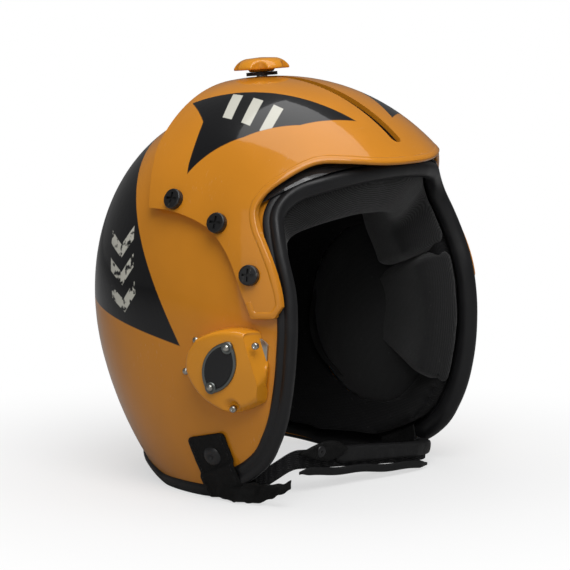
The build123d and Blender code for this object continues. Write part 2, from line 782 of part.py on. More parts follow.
# Comfort pads, crowned towards the head, thin at their edges
pad_edge = helmet_form(-shell_wall - bead_height - soft_gap)
pad_seat = helmet_form(-shell_wall - 2 * soft_gap - liner_wall)
ear_plane = Plane(origin=(form_x(ear_y, ear_z, -shell_wall - bead_height), pivot_y + ear_pad_y,
                          pivot_z + ear_z), x_dir=(0, 1, 0), z_dir=(-1, 0, 0))
ear_form = pillow(ear_plane, ear_pad_length, ear_pad_height, ear_pad_depth)
ear_room = pillow(ear_plane, ear_pad_length + 2 * soft_gap, ear_pad_height + 2 * soft_gap,
                  ear_pad_depth + soft_gap)
cup_room = side_pin(ear_y, ear_z, ear_cup_diameter + 2 * soft_gap)
cup_ceiling = helmet_form(-cup_floor - soft_gap)
ear_hole = side_pin(ear_y, ear_z, ear_hole_diameter)
with BuildPart() as ear_pad:
    add(ear_form)
    add(pad_edge, mode=Mode.INTERSECT)
    add(cup_room - cup_ceiling, mode=Mode.SUBTRACT)
    add(ear_hole, mode=Mode.SUBTRACT)
save_pair(ear_pad.part, "ear_pad")

with BuildPart() as ear_rooms:
    add(ear_room)
    mirror(about=Plane.YZ)

with BuildPart() as cup_rooms:
    add(cup_room)
    mirror(about=Plane.YZ)

brow_plane = radial_plane(brow_pad_angle, shell_round - brow_pad_sink)
brow_form = pillow(brow_plane, brow_pad_width, brow_pad_height, brow_pad_depth)
brow_room = pillow(brow_plane, brow_pad_width + 2 * soft_gap, brow_pad_height + 2 * soft_gap,
                   brow_pad_depth + soft_gap)
liner_reach = rim_band(soft_gap - liner_setback) - pad_seat
with BuildPart() as brow_pad:
    add(brow_form)
    add(pad_edge, mode=Mode.INTERSECT)
    add(liner_reach, mode=Mode.SUBTRACT)
    add(ear_rooms.part, mode=Mode.SUBTRACT)
save(brow_pad.part, "brow_pad")

crown_plane = radial_plane(crown_pad_angle, shell_round - liner_wall - shell_wall)
crown_form = pillow(crown_plane, crown_pad_width, crown_pad_length, crown_pad_depth)
with BuildPart() as crown_pad:
    add(crown_form)
    add(pad_seat, mode=Mode.INTERSECT)
    add(brow_room, mode=Mode.SUBTRACT)
save(crown_pad.part, "crown_pad")

nape_plane = Plane(origin=(0, pivot_y + nape_pad_y, pivot_z + nape_pad_z), x_dir=(1, 0, 0),
                   z_dir=(0, 1, -nape_pad_slope))
nape_form = pillow(nape_plane, nape_pad_width, nape_pad_height, nape_pad_depth)
with BuildPart() as nape_pad:
    add(nape_form)
    add(pad_seat, mode=Mode.INTERSECT)
save(nape_pad.part, "nape_pad")

# Energy liner of foam, open at the ears and set back from the edge roll
liner_layer = helmet_band(-shell_wall - soft_gap - liner_wall, -shell_wall - soft_gap)
liner_zone = rim_band(-liner_setback)
with BuildPart() as energy_liner:
    add(liner_layer)
    add(liner_zone, mode=Mode.INTERSECT)
    add(cup_rooms.part, mode=Mode.SUBTRACT)
    add(ear_rooms.part, mode=Mode.SUBTRACT)
    add(nut_rooms.part, mode=Mode.SUBTRACT)
save(energy_liner.part, "energy_liner")

# Leather strap tabs that wrap under the lower rim, each with a snap cap
tab_plane = Plane(origin=(0, pivot_y + tab_top_y, pivot_z + tab_top_z),
                  x_dir=(0, cos(radians(tab_lean)), -sin(radians(tab_lean))), z_dir=(1, 0, 0))
tab_outer_layer = helmet_band(-tab_tuck, tab_rise)
tab_rim = rim_band(bead_front + fit_gap + tab_wall)
rim_room = rim_band(bead_front + fit_gap)
tab_room = helmet_form(fit_gap) & rim_room
roll_room = (helmet_form(roll_skin + fit_gap) & rim_room) - rim_band(-roll_flange - fit_gap)
with BuildPart() as strap_tab:
    with BuildSketch(tab_plane):
        with Locations((0, -tab_drop / 2)):
            RectangleRounded(tab_width, tab_drop, tab_round)
    extrude(amount=cut_reach)
    add(tab_outer_layer, mode=Mode.INTERSECT)
    add(tab_rim, mode=Mode.INTERSECT)
    add(tab_room, mode=Mode.SUBTRACT)
    add(roll_room, mode=Mode.SUBTRACT)
    add(floor_cut, mode=Mode.SUBTRACT)
save_pair(strap_tab.part, "strap_tab")

snap_y = tab_top_y - snap_drop * sin(radians(tab_lean))
snap_z = tab_top_z - snap_drop * cos(radians(tab_lean))
snap_pin = side_pin(snap_y, snap_z, snap_diameter)
snap_layer = helmet_band(tab_rise + fit_gap, tab_rise + fit_gap + snap_height)
with BuildPart() as tab_snaps:
    add(snap_pin)
    add(snap_layer, mode=Mode.INTERSECT)
    mirror(about=Plane.YZ)
save(tab_snaps.part, "tab_snaps")


# Chin strap on edge across the opening, its padded sleeve and a loose end flap
def strap_band(width, height, lift):
    """Upright band along the strap's route, tilted so that it sinks to the wearer's left."""
    with BuildSketch(Plane.XY.offset(strap_base + lift)) as band:
        with BuildLine():
            FilletPolyline(*strap_points, radius=strap_arc)
        trace(line_width=width)
    return Rot(Y=strap_lean) * extrude(band.sketch, amount=height)


strap_solid = strap_band(strap_thickness, strap_height, 0)
strap_stop = (rim_band(bead_front + fit_gap + tab_wall + soft_gap)
              - helmet_form(-tab_tuck - soft_gap))
with BuildPart() as chin_strap:
    add(strap_solid)
    add(strap_stop, mode=Mode.SUBTRACT)
    add(liner_reach, mode=Mode.SUBTRACT)
save(chin_strap.part, "chin_strap")

sleeve_solid = strap_band(strap_thickness + 2 * sleeve_wall, strap_height + 2 * sleeve_lip,
                          -sleeve_lip)
strap_room = strap_band(strap_thickness + 2 * fit_gap, strap_height + 2 * fit_gap, -fit_gap)
sleeve_block = (Pos((sleeve_from_x + sleeve_to_x) / 2, 0, 0)
                * Box(sleeve_to_x - sleeve_from_x, 2 * cut_reach, 2 * cut_reach))
with BuildPart() as chin_sleeve:
    add(sleeve_solid)
    add(sleeve_block, mode=Mode.INTERSECT)
    add(strap_room, mode=Mode.SUBTRACT)
    add(strap_stop, mode=Mode.SUBTRACT)
save(chin_sleeve.part, "chin_sleeve")

flap_from = Vector(*strap_points[2])
flap_run = (Vector(*strap_points[3]) - flap_from).normalized()
flap_front = Vector(flap_run.Y, -flap_run.X)
flap_middle = (flap_from + flap_run * flap_shift
               + flap_front * (strap_thickness / 2 + soft_gap))
flap_origin = flap_middle + Vector(0, 0, strap_base + strap_height / 2 + flap_lift)
flap_plane = Plane(origin=flap_origin, x_dir=flap_run, z_dir=flap_front)
with BuildPart() as flap_blank:
    with BuildSketch(flap_plane):
        with BuildLine():
            ThreePointArc((-flap_length / 2, 0), (0, flap_height / 2), (flap_length / 2, 0))
            ThreePointArc((flap_length / 2, 0), (0, -flap_height / 2), (-flap_length / 2, 0))
        make_face()
    extrude(amount=flap_thickness)
with BuildPart() as strap_flap:
    add(Rot(Y=strap_lean) * flap_blank.part)
save(strap_flap.part, "strap_flap")

with BuildPart() as flap_snap_blank:
    with BuildSketch(flap_plane.offset(flap_thickness + fit_gap)):
        Circle(flap_snap_diameter / 2)
    extrude(amount=snap_height)
with BuildPart() as strap_snap:
    add(Rot(Y=strap_lean) * flap_snap_blank.part)
save(strap_snap.part, "strap_snap")
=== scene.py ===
from math import atan2, cos, hypot, pi, radians, sin, tan

import bmesh
import bpy
from mathutils import Matrix, Vector, noise


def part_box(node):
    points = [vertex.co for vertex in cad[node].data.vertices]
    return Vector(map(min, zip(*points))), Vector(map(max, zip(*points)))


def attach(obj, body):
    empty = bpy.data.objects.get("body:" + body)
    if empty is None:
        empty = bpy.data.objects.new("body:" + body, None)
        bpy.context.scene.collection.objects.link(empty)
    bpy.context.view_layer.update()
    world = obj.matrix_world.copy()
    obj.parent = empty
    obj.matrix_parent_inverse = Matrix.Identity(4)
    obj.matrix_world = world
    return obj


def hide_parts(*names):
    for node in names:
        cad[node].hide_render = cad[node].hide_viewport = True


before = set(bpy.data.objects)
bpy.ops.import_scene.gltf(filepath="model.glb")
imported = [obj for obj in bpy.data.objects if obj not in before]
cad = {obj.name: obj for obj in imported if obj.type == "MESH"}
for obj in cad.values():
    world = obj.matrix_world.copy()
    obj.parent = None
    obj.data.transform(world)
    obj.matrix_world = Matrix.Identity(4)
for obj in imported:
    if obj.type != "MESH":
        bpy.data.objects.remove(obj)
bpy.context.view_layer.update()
scene = bpy.context.scene

# Sizes in metres, as in the CAD source. The wearer faces -Y, the wearer's left is +X
sides = ((1, "left"), (-1, "right"))
axis_point = Vector((0, -0.002, 0.106))
shell_round = 0.136
shell_back = 0.112
shell_drop = 0.165
shell_side = 0.110
shell_tilt = radians(20)
fullness = 2.3
housing_round = 0.150
housing_side = 0.114
roll_end_y = -0.34 * shell_round
brow_corner_radius = 0.016
rim_corner_radius = 0.030
receiver_place = (-0.0525, -0.0205)
receiver_reach = 0.0285
receiver_margin = 0.0105
receiver_front = -0.0775
receiver_rise = 0.0108
badge_tilt = radians(25)
badge_middle = (receiver_place[0] + 0.0005, receiver_place[1] + 0.0023)
badge_half_length = 0.01825
badge_half_width = 0.0105
badge_boss_reach = 0.014
receiver_screw_places = ((-0.022, 0.017), (-0.006, -0.023))
receiver_rivet_places = ((0.026, 0.0155), (0.0345, -0.0045))
tab_middle = Vector((-0.0295, -0.064))
tab_lean = radians(13)
tab_half_width = 0.0145
tab_rise = 0.0035
tab_wall = 0.002
snap_drop = 0.014
strap_lean = radians(5)
strap_route = ((-0.083, -0.047), (-0.068, -0.053), (-0.038, -0.058), (0.002, -0.064),
               (0.048, -0.070), (0.072, -0.066), (0.083, -0.049))
strap_base = 0.0106
weld_reach = 0.00001
outline_steps = 2000
bunched_steps = 600
opening_steps = 420
front_outline_steps = 900
front_bunched_steps = 400
front_steps = 300
head_steps = 20
floor_gap = 0.0012

brow_line = ((-0.89, 0.794), (-0.478, 0.603))
cheek_line = ((-0.632, 0.206), (-0.651, 0.029), (-0.640, -0.191), (-0.596, -0.397),
              (-0.507, -0.566), (-0.397, -0.654), (-0.162, -0.757))
rim_line = ((0.170, -0.757), (0.610, -0.654), (1.050, -0.550))
housing_front = ((-0.860, 0.660), (-0.733, 0.683), (-0.630, 0.700), (-0.547, 0.695),
                 (-0.467, 0.627), (-0.420, 0.567), (-0.407, 0.507), (-0.433, 0.440),
                 (-0.473, 0.377), (-0.523, 0.287), (-0.560, 0.193), (-0.573, 0.133),
                 (-0.547, 0.087))
housing_rear = ((0.187, 1.100), (0.187, 0.733), (0.113, 0.487), (-0.040, 0.480),
                (-0.133, 0.460), (-0.230, 0.420), (-0.293, 0.367), (-0.353, 0.287),
                (-0.387, 0.220), (-0.427, 0.140), (-0.453, 0.080))


class Dome:
    """Full rounded hull about the visor axis. A lift raises it all round."""

    def __init__(self, side, front, back, top, drop, tilt):
        self.side = side
        self.front, self.back = front, back
        self.top, self.drop = top, drop
        self.tilt = tilt

    def own(self, y, z, lift):
        """Side view place from the visor axis in the dome's tilted frame, and the radii there."""
        fore = y * cos(self.tilt) - z * sin(self.tilt)
        up = y * sin(self.tilt) + z * cos(self.tilt)
        return (fore, up, (self.front if fore < 0 else self.back) + lift,
                (self.top if up > 0 else self.drop) + lift)

    def half_width(self, y, z, lift):
        fore, up, length, height = self.own(y, z, lift)
        share = min(1, hypot(fore / length, up / height))
        return (self.side + lift) * (1 - share ** fullness) ** (1 / fullness)

    def beside(self, y, z, lift, side=1):
        """Place on the dome at a side view place, on the wearer's left where side is 1."""
        return axis_point + Vector((side * self.half_width(y, z, lift), y, z))

    def on(self, point, lift):
        """Place on the dome that lies in line with a point, as seen from the visor axis."""
        away = point - axis_point
        fore, up, length, height = self.own(away.y, away.z, lift)
        share = ((abs(away.x) / (self.side + lift)) ** fullness
                 + hypot(fore / length, up / height) ** fullness) ** (1 / fullness)
        return axis_point + away / share

    def normal(self, point):
        away = point - axis_point
        fore, up, length, height = self.own(away.y, away.z, 0)
        share = hypot(fore / length, up / height) ** (fullness - 2)
        side = abs(away.x) ** (fullness - 1) / self.side ** fullness * (1 if away.x > 0 else -1)
        along, out = share * fore / length ** 2, share * up / height ** 2
        return Vector((side, along * cos(self.tilt) + out * sin(self.tilt),
                       out * cos(self.tilt) - along * sin(self.tilt))).normalized()


shell = Dome(shell_side, shell_round, shell_back, shell_round, shell_drop, shell_tilt)
housing = Dome(housing_side, housing_round, housing_round, housing_round, housing_round, 0)


# Lines

def scaled(shares, size):
    return [Vector((y * size, z * size)) for y, z in shares]


def rounded(points, reaches):
    """Flat line with an arc at each inner corner; a reach is how far the arc starts from it."""
    line = [points[0]]
    for before, corner, after, reach in zip(points, points[1:], points[2:], reaches):
        run_in, run_out = (before - corner).normalized(), (after - corner).normalized()
        opening = run_in.angle(run_out)
        middle = corner + (run_in + run_out).normalized() * reach / cos(opening / 2)
        first, last = corner + run_in * reach - middle, corner + run_out * reach - middle
        turn = first.angle(last)
        for step in range(13):
            share = step / 12
            line.append(middle + (first * sin((1 - share) * turn) + last * sin(share * turn))
                        / sin(turn))
    line.append(points[-1])
    return line


def corner_reach(before, corner, after, radius=None):
    run_in, run_out = before - corner, after - corner
    if radius is None:
        return 0.45 * min(run_in.length, run_out.length)
    return radius / tan(run_in.angle(run_out) / 2)


def even(points, count):
    """The same line as count equal steps."""
    reaches = [0.0]
    for one, other in zip(points, points[1:]):
        reaches.append(reaches[-1] + (other - one).length)
    line, run = [], 0
    for step in range(count + 1):
        reach = reaches[-1] * step / count
        while run < len(points) - 2 and reaches[run + 1] < reach:
            run += 1
        span = reaches[run + 1] - reaches[run]
        line.append(points[run].lerp(points[run + 1], (reach - reaches[run]) / span))
    return line


def smooth_line(points, count):
    """Even line through the points, rounded as a Catmull-Rom spline."""
    padded = [2 * points[0] - points[1], *points, 2 * points[-1] - points[-2]]
    dense = []
    for a, b, c, d in zip(padded, padded[1:], padded[2:], padded[3:]):
        for step in range(12):
            t = step / 12
            dense.append(0.5 * (2 * b + (c - a) * t + (2 * a - 5 * b + 4 * c - d) * t * t
                                + (3 * b - 3 * c + d - a) * t ** 3))
    return even(dense + [points[-1]], count)


def at_index(points, exact):
    """Place at an index with a fraction."""
    index = min(int(exact), len(points) - 2)
    return points[index].lerp(points[index + 1], exact - index)


def bunched(points, count):
    """The same line as count steps that grow small towards its ends."""
    last = len(points) - 1
    return [at_index(points, (0.5 - 0.5 * cos(pi * step / count)) * last)
            for step in range(count + 1)]


def opening_line():
    """Left half of the face opening and lower rim on the shell, from brow to nape."""
    corners = scaled(brow_line + cheek_line + rim_line, shell_round)
    radii = [brow_corner_radius] + [None] * (len(cheek_line) - 1)
    radii += [rim_corner_radius] * (len(corners) - 2 - len(radii))
    reaches = [corner_reach(*spots, radius)
               for *spots, radius in zip(corners, corners[1:], corners[2:], radii)]
    flat = even(rounded(corners, reaches), outline_steps)
    inside = [place for place in flat if shell.half_width(place.x, place.y, 0) > 0]
    line = [shell.beside(place.x, place.y, 0) for place in bunched(inside, bunched_steps)]
    line[0].x = line[-1].x = 0
    return line


class Station:
    """A place on a dome's edge, with the direction along its surface away from the edge."""

    def __init__(self, place, inward, dome):
        self.place = place
        self.inward = inward
        self.dome = dome

    def mirrored(self):
        flip = Vector((-1, 1, 1))
        return Station(self.place * flip, self.inward * flip, self.dome)

    def at(self, back, lift):
        """Back along the surface from its edge, and raised over its outside."""
        return self.dome.on(self.place + self.inward * back, lift)


def edge_stations(line, dome):
    points = [dome.on(place, 0) for place in line]
    stations = []
    for index, place in enumerate(points):
        before = points[max(index - 1, 0)]
        after = points[min(index + 1, len(points) - 1)]
        inward = dome.normal(place).cross(after - before).normalized()
        stations.append(Station(place, inward, dome))
    return stations


left_stations = edge_stations(even(opening_line(), opening_steps), shell)
left_stations[0].inward.x = left_stations[-1].inward.x = 0


def inside_housing(flat):
    """The part of a side view line that lies on the housing, bunched where it leaves it."""
    inside = [place for place in flat if place.length < housing_round]
    return [housing.beside(place.x, place.y, 0)
            for place in bunched(inside, front_bunched_steps)]


def both_sides(stations):
    """The left stations and their mirror images in one row, from right to left."""
    return [station.mirrored() for station in reversed(stations[1:])] + stations


def is_face_part(station):
    rel = station.place - axis_point
    return rel.z > 0 or rel.y < roll_end_y


# Meshes

def mapped_grid(columns, rows, place):
    """Sheet of faces with each corner put where place(column, row) says."""
    bm = bmesh.new()
    bm.loops.layers.uv.new("UVMap")
    bmesh.ops.create_grid(bm, x_segments=columns, y_segments=rows, size=1, calc_uvs=True)
    for vert in bm.verts:
        column = round((vert.co.x + 1) / 2 * columns)
        row = round((vert.co.y + 1) / 2 * rows)
        vert.co = place(column, row)
    return bm


def lathe(profile, origin, direction, steps=32):
    """Profile of (radius, height) turned about an axis through origin."""
    bm = bmesh.new()
    verts = [bm.verts.new((radius, 0, height)) for radius, height in profile]
    edges = [bm.edges.new(pair) for pair in zip(verts, verts[1:])]
    bmesh.ops.spin(bm, geom=verts + edges, cent=(0, 0, 0), axis=(0, 0, 1), angle=2 * pi,
                   steps=steps, use_merge=True)
    bmesh.ops.remove_doubles(bm, verts=bm.verts, dist=weld_reach)
    turn = Vector(direction).to_track_quat("Z", "Y").to_matrix().to_4x4()
    bmesh.ops.transform(bm, matrix=Matrix.Translation(origin) @ turn, verts=bm.verts)
    return bm


def join(parts):
    """One bmesh that holds copies of several."""
    whole = bmesh.new()
    for part in parts:
        mesh = bpy.data.meshes.new("part")
        part.to_mesh(mesh)
        part.free()
        whole.from_mesh(mesh)
        bpy.data.meshes.remove(mesh)
    return whole


def close_ends(bm):
    bmesh.ops.remove_doubles(bm, verts=bm.verts, dist=weld_reach)
    open_edges = [edge for edge in bm.edges if edge.is_boundary]
    if open_edges:
        bmesh.ops.holes_fill(bm, edges=open_edges, sides=0)
    return bm


def piece(bm, name, material, slot, replaced=(), body="helmet", recalc=True):
    """Finished object of the mesh, riding on its body and standing for CAD nodes."""
    bmesh.ops.remove_doubles(bm, verts=bm.verts, dist=weld_reach)
    if recalc:
        bmesh.ops.recalc_face_normals(bm, faces=bm.faces)
    for face in bm.faces:
        face.smooth = True
    mesh = bpy.data.meshes.new(name)
    bm.to_mesh(mesh)
    bm.free()
    made = bpy.data.objects.new(name, mesh)
    scene.collection.objects.link(made)
    for one in material if isinstance(material, list) else [material]:
        made.data.materials.append(one)
    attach(made, body)
    if replaced:
        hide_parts(*replaced)
    return made


def thicken(made, wall):
    """Give a sheet a wall, half of it on each side, and smooth it."""
    solidify = made.modifiers.new("wall", "SOLIDIFY")
    solidify.thickness = wall
    solidify.offset = 0
    solidify.use_even_offset = True
    subdivide(made)


def subdivide(made):
    """Smooth a piece by one level."""
    subsurf = made.modifiers.new("smoothness", "SUBSURF")
    subsurf.levels = subsurf.render_levels = 1


def merged_copy(node):
    """The CAD node's mesh with its corners joined."""
    bm = bmesh.new()
    bm.from_mesh(cad[node].data)
    bmesh.ops.remove_doubles(bm, verts=bm.verts, dist=0.00002)
    return bm


def remeshed(bm, voxel, rounds):
    """Even mesh over a closed form, its edges softened."""
    mesh = bpy.data.meshes.new("work")
    bm.to_mesh(mesh)
    bm.free()
    work = bpy.data.objects.new("work", mesh)
    scene.collection.objects.link(work)
    remesh = work.modifiers.new("voxels", "REMESH")
    remesh.mode = "VOXEL"
    remesh.voxel_size = voxel
    bpy.context.view_layer.update()
    result = bpy.data.meshes.new_from_object(
        work.evaluated_get(bpy.context.evaluated_depsgraph_get()))
    bm = bmesh.new()
    bm.from_mesh(result)
    bpy.data.objects.remove(work)
    bpy.data.meshes.remove(mesh)
    bpy.data.meshes.remove(result)
    for _ in range(rounds):
        bmesh.ops.smooth_vert(bm, verts=bm.verts, factor=0.5, use_axis_x=True, use_axis_y=True,
                              use_axis_z=True)
    return bm


def swell(made, pressure, cap, frames=20):
    """Blow a pad up a little as cloth, and keep each point within cap of where it was."""
    before = [vert.co.copy() for vert in made.data.vertices]
    cloth = made.modifiers.new("swell", "CLOTH")
    cloth.settings.use_pressure = True
    cloth.settings.uniform_pressure_force = pressure
    cloth.settings.effector_weights.gravity = 0
    cloth.settings.quality = 5
    for number in range(1, frames + 1):
        scene.frame_set(number)
    moved = made.evaluated_get(bpy.context.evaluated_depsgraph_get()).data
    places = [vert.co.copy() for vert in moved.vertices]
    made.modifiers.remove(cloth)
    scene.frame_set(1)
    for vert, old, new in zip(made.data.vertices, before, places):
        step = new - old
        if step.length > cap:
            step *= cap / step.length
        vert.co = old + step
    return made


# Paint and cloth, as node trees

def linear(red, green, blue):
    """Linear colour of an sRGB one."""
    return tuple(((part / 255 + 0.055) / 1.055) ** 2.4 if part > 10 else part / 3294.6
                 for part in (red, green, blue)) + (1,)


def feed(tree, node, inputs):
    """Link each input of a node from a socket, or set its value."""
    for key, value in inputs.items():
        if isinstance(value, bpy.types.NodeSocket):
            tree.links.new(value, node.inputs[key])
        else:
            node.inputs[key].default_value = value
    return node


def add_node(tree, kind, inputs, **settings):
    made = tree.nodes.new(kind)
    for key, value in settings.items():
        setattr(made, key, value)
    return feed(tree, made, inputs)


def calc(tree, operation, first, second=0.0):
    return add_node(tree, "ShaderNodeMath", {0: first, 1: second}, operation=operation).outputs[0]


def times(tree, first, *others):
    """Product of sockets and numbers."""
    for other in others:
        first = calc(tree, "MULTIPLY", first, other)
    return first


def mix_colors(tree, share, first, second):
    return add_node(tree, "ShaderNodeMix", {0: share, 6: first, 7: second},
                    data_type="RGBA").outputs[2]


def ramp(tree, value, low, high, to_low=0.0, to_high=1.0):
    """Soft step of a value from low to high."""
    return add_node(tree, "ShaderNodeMapRange", {"Value": value, "From Min": low, "From Max": high,
                                                 "To Min": to_low, "To Max": to_high},
                    interpolation_type="SMOOTHSTEP").outputs[0]


def between(tree, value, low, high, soft=0.0002):
    """Mask of the values from low to high."""
    return times(tree, ramp(tree, value, low - soft, low + soft),
                 ramp(tree, value, high - soft, high + soft, 1, 0))


def stripes(tree, value, start, pitch):
    """Mask of bands, each with a gap of about its own width after it."""
    wave = calc(tree, "FRACT", times(tree, calc(tree, "SUBTRACT", value, start), 1 / pitch))
    return times(tree, ramp(tree, wave, 0.02, 0.06), ramp(tree, wave, 0.5, 0.54, 1, 0))


def clouds(tree, place, scale, detail):
    """Noise from 0 to 1."""
    return add_node(tree, "ShaderNodeTexNoise", {"Vector": place, "Scale": scale,
                                                 "Detail": detail}).outputs[0]


def new_group(name, inputs, outputs):
    """Shader node group with named inputs and outputs."""
    group = bpy.data.node_groups.new(name, "ShaderNodeTree")
    for label, kind, value in inputs:
        socket = group.interface.new_socket(label, in_out="INPUT", socket_type=kind)
        socket.default_value = value
    for label, kind in outputs:
        group.interface.new_socket(label, in_out="OUTPUT", socket_type=kind)
    return group, group.nodes.new("NodeGroupInput").outputs, group.nodes.new("NodeGroupOutput")


COLOR, NUMBER, PLACE = "NodeSocketColor", "NodeSocketFloat", "NodeSocketVector"


def worn_paint_group():
    """Sprayed paint: slow colour drift, faint scuffs and the ripple of the coat."""
    tree, given, target = new_group(
        "worn_paint", [("Place", PLACE, (0, 0, 0)), ("Paint", COLOR, (1, 1, 1, 1)),
                       ("Shade", NUMBER, 0.85), ("Scuffs", NUMBER, 0.5)],
        [("Color", COLOR), ("Roughness", NUMBER), ("Height", NUMBER)])
    place, paint = given["Place"], given["Paint"]
    deep = add_node(tree, "ShaderNodeVectorMath", {0: paint, "Scale": given["Shade"]},
                    operation="SCALE").outputs[0]
    tint = mix_colors(tree, ramp(tree, clouds(tree, place, 14.0, 3.0), 0.35, 0.68), paint, deep)
    stretch = add_node(tree, "ShaderNodeMapping", {"Vector": place, "Scale": (160, 900, 240),
                                                   "Rotation": (0.5, 0.2, 0.9)}).outputs[0]
    scuffs = times(tree, ramp(tree, clouds(tree, stretch, 1.0, 2.0), 0.62, 0.72),
                   ramp(tree, clouds(tree, place, 34.0, 4.0), 0.52, 0.72), given["Scuffs"])
    dull = calc(tree, "MULTIPLY_ADD", scuffs, 0.35)
    dull.node.inputs[2].default_value = 0.3
    feed(tree, target, {
        "Color": mix_colors(tree, times(tree, scuffs, 0.22), tint, (0.9, 0.82, 0.7, 1)),
        "Roughness": dull, "Height": clouds(tree, place, 260.0, 1.0)})
    return tree


def grain_group():
    """Leather or moulded grain: cells with soft creases between them."""
    tree, given, target = new_group(
        "grain", [("Place", PLACE, (0, 0, 0)), ("Cells", NUMBER, 700.0),
                  ("Base", COLOR, (0.02, 0.02, 0.02, 1)), ("Worn", COLOR, (0.06, 0.06, 0.06, 1))],
        [("Color", COLOR), ("Roughness", NUMBER), ("Height", NUMBER)])
    place = given["Place"]
    warp = clouds(tree, place, 120.0, 3.0).node.outputs[1]
    bent = add_node(tree, "ShaderNodeVectorMath", {0: warp, 1: (0.004, 0.004, 0.004), 2: place},
                    operation="MULTIPLY_ADD").outputs[0]
    cells = add_node(tree, "ShaderNodeTexVoronoi", {"Vector": bent, "Scale": given["Cells"]},
                     feature="DISTANCE_TO_EDGE").outputs["Distance"]
    bumps = ramp(tree, cells, 0.0, 0.35)
    broad = clouds(tree, place, 60.0, 5.0)
    rubbed = times(tree, ramp(tree, broad, 0.5, 0.75), bumps)
    feed(tree, target, {"Color": mix_colors(tree, rubbed, given["Base"], given["Worn"]),
                        "Roughness": ramp(tree, broad, 0.3, 0.7, 0.42, 0.62),
                        "Height": calc(tree, "ADD", bumps, broad)})
    return tree


def knit_group():
    """Knit or woven cloth: rows crossed by ribs, with lint."""
    tree, given, target = new_group(
        "knit", [("Place", PLACE, (0, 0, 0)), ("Rows", NUMBER, 700.0),
                 ("Base", COLOR, (0.01, 0.01, 0.011, 1)), ("Thread", COLOR, (0.03, 0.03, 0.03, 1)),
                 ("Lint", NUMBER, 0.3)],
        [("Color", COLOR), ("Height", NUMBER)])
    place = given["Place"]
    rows, ribs = [add_node(tree, "ShaderNodeTexWave", {"Vector": place, "Scale": given["Rows"],
                                                       "Distortion": 1.5, "Detail": 1.0},
                           wave_type="BANDS", bands_direction=way).outputs[1] for way in "ZY"]
    height = times(tree, rows, ribs)
    cloud = clouds(tree, place, 45.0, 6.0)
    lint = times(tree, ramp(tree, clouds(tree, place, 420.0, 2.0), 0.70, 0.76), given["Lint"])
    thread = mix_colors(tree, times(tree, height, cloud), given["Base"], given["Thread"])
    feed(tree, target, {"Color": mix_colors(tree, lint, thread, (0.2, 0.2, 0.2, 1)),
                        "Height": calc(tree, "ADD", height, cloud)})
    return tree


worn_paint = worn_paint_group()
grain = grain_group()
knit = knit_group()


def new_material(name):
    made = bpy.data.materials.new(name)
    made.use_nodes = True
    tree = made.node_tree
    place = tree.nodes.new("ShaderNodeTexCoord").outputs["Object"]
    return made, tree, tree.nodes["Principled BSDF"], place


def add_bump(tree, shader, height, strength, distance):
    bump = add_node(tree, "ShaderNodeBump", {"Height": height, "Strength": strength,
                                             "Distance": distance})
    tree.links.new(bump.outputs[0], shader.inputs["Normal"])


def inside_outline(tree, across, along, corners, soft=0.0004):
    """Mask of a convex outline, given anticlockwise in (across, along)."""
    point = add_node(tree, "ShaderNodeCombineXYZ", {0: across, 1: along, 2: 1.0}).outputs[0]
    nearest = None
    for (x1, y1), (x2, y2) in zip(corners, corners[1:] + corners[:1]):
        length = hypot(x2 - x1, y2 - y1)
        a, b = (y1 - y2) / length, (x2 - x1) / length
        reach = dot(tree, point, (a, b, -a * x1 - b * y1))
        nearest = reach if nearest is None else calc(tree, "MINIMUM", nearest, reach)
    return ramp(tree, nearest, -soft, soft)


def dot(tree, place, way):
    return add_node(tree, "ShaderNodeVectorMath", {0: place, 1: way},
                    operation="DOT_PRODUCT").outputs["Value"]


def orange_paint(name, paint, markings=None, coat_roughness=0.06):
    """Glossy paint, with markings(tree, place, color) over it."""
    made, tree, shader, place = new_material(name)
    finish = add_node(tree, "ShaderNodeGroup", {"Place": place, "Paint": paint, "Shade": 0.9,
                                                "Scuffs": 0.6}, node_tree=worn_paint)
    color = finish.outputs["Color"]
    feed(tree, shader, {"Base Color": markings(tree, place, color) if markings else color,
                        "Roughness": finish.outputs["Roughness"], "Specular IOR Level": 0.15,
                        "Coat Weight": 0.7, "Coat Roughness": coat_roughness})
    add_bump(tree, shader, finish.outputs["Height"], 0.03, 0.002)
    return made


BLACK_PAINT = (0.006, 0.006, 0.007, 1)
PALE_PAINT = linear(214, 212, 200)
chevron_turn = radians(-12)
chevron_start, chevron_end, chevron_pitch = 0.116, 0.162, 0.017
chevron_middle, chevron_slope = 0.0085, 0.8
dart_round = 0.13
bar_start, bar_end, bar_pitch, bar_slope = 0.183, 0.225, 0.0155, 0.45
bar_inner, bar_outer = 0.047, 0.067


def shell_markings(tree, place, color):
    """Black rear panel with a point ahead of it, and three worn pale chevrons."""
    panel = inside_outline(tree, dot(tree, place, (0, 1, 0)), dot(tree, place, (0, 0, 1)),
                           [(-0.0163, 0.0964), (0.0548, 0.1096), (0.16, 0.131), (0.16, 0.262),
                            (0.086, 0.262)])
    color = mix_colors(tree, panel, color, BLACK_PAINT)
    along = dot(tree, place, (0, -sin(chevron_turn), cos(chevron_turn)))
    across = dot(tree, place, (0, cos(chevron_turn), sin(chevron_turn)))
    aside = calc(tree, "ABSOLUTE", calc(tree, "SUBTRACT", across, chevron_middle))
    slope = calc(tree, "SUBTRACT", along, times(tree, aside, chevron_slope))
    mask = times(tree, stripes(tree, slope, chevron_start, chevron_pitch),
                 between(tree, slope, chevron_start, chevron_end),
                 ramp(tree, aside, 0.0125, 0.0131, 1, 0),
                 ramp(tree, clouds(tree, place, 190.0, 6.0), 0.40, 0.50), panel)
    return mix_colors(tree, mask, color, PALE_PAINT)


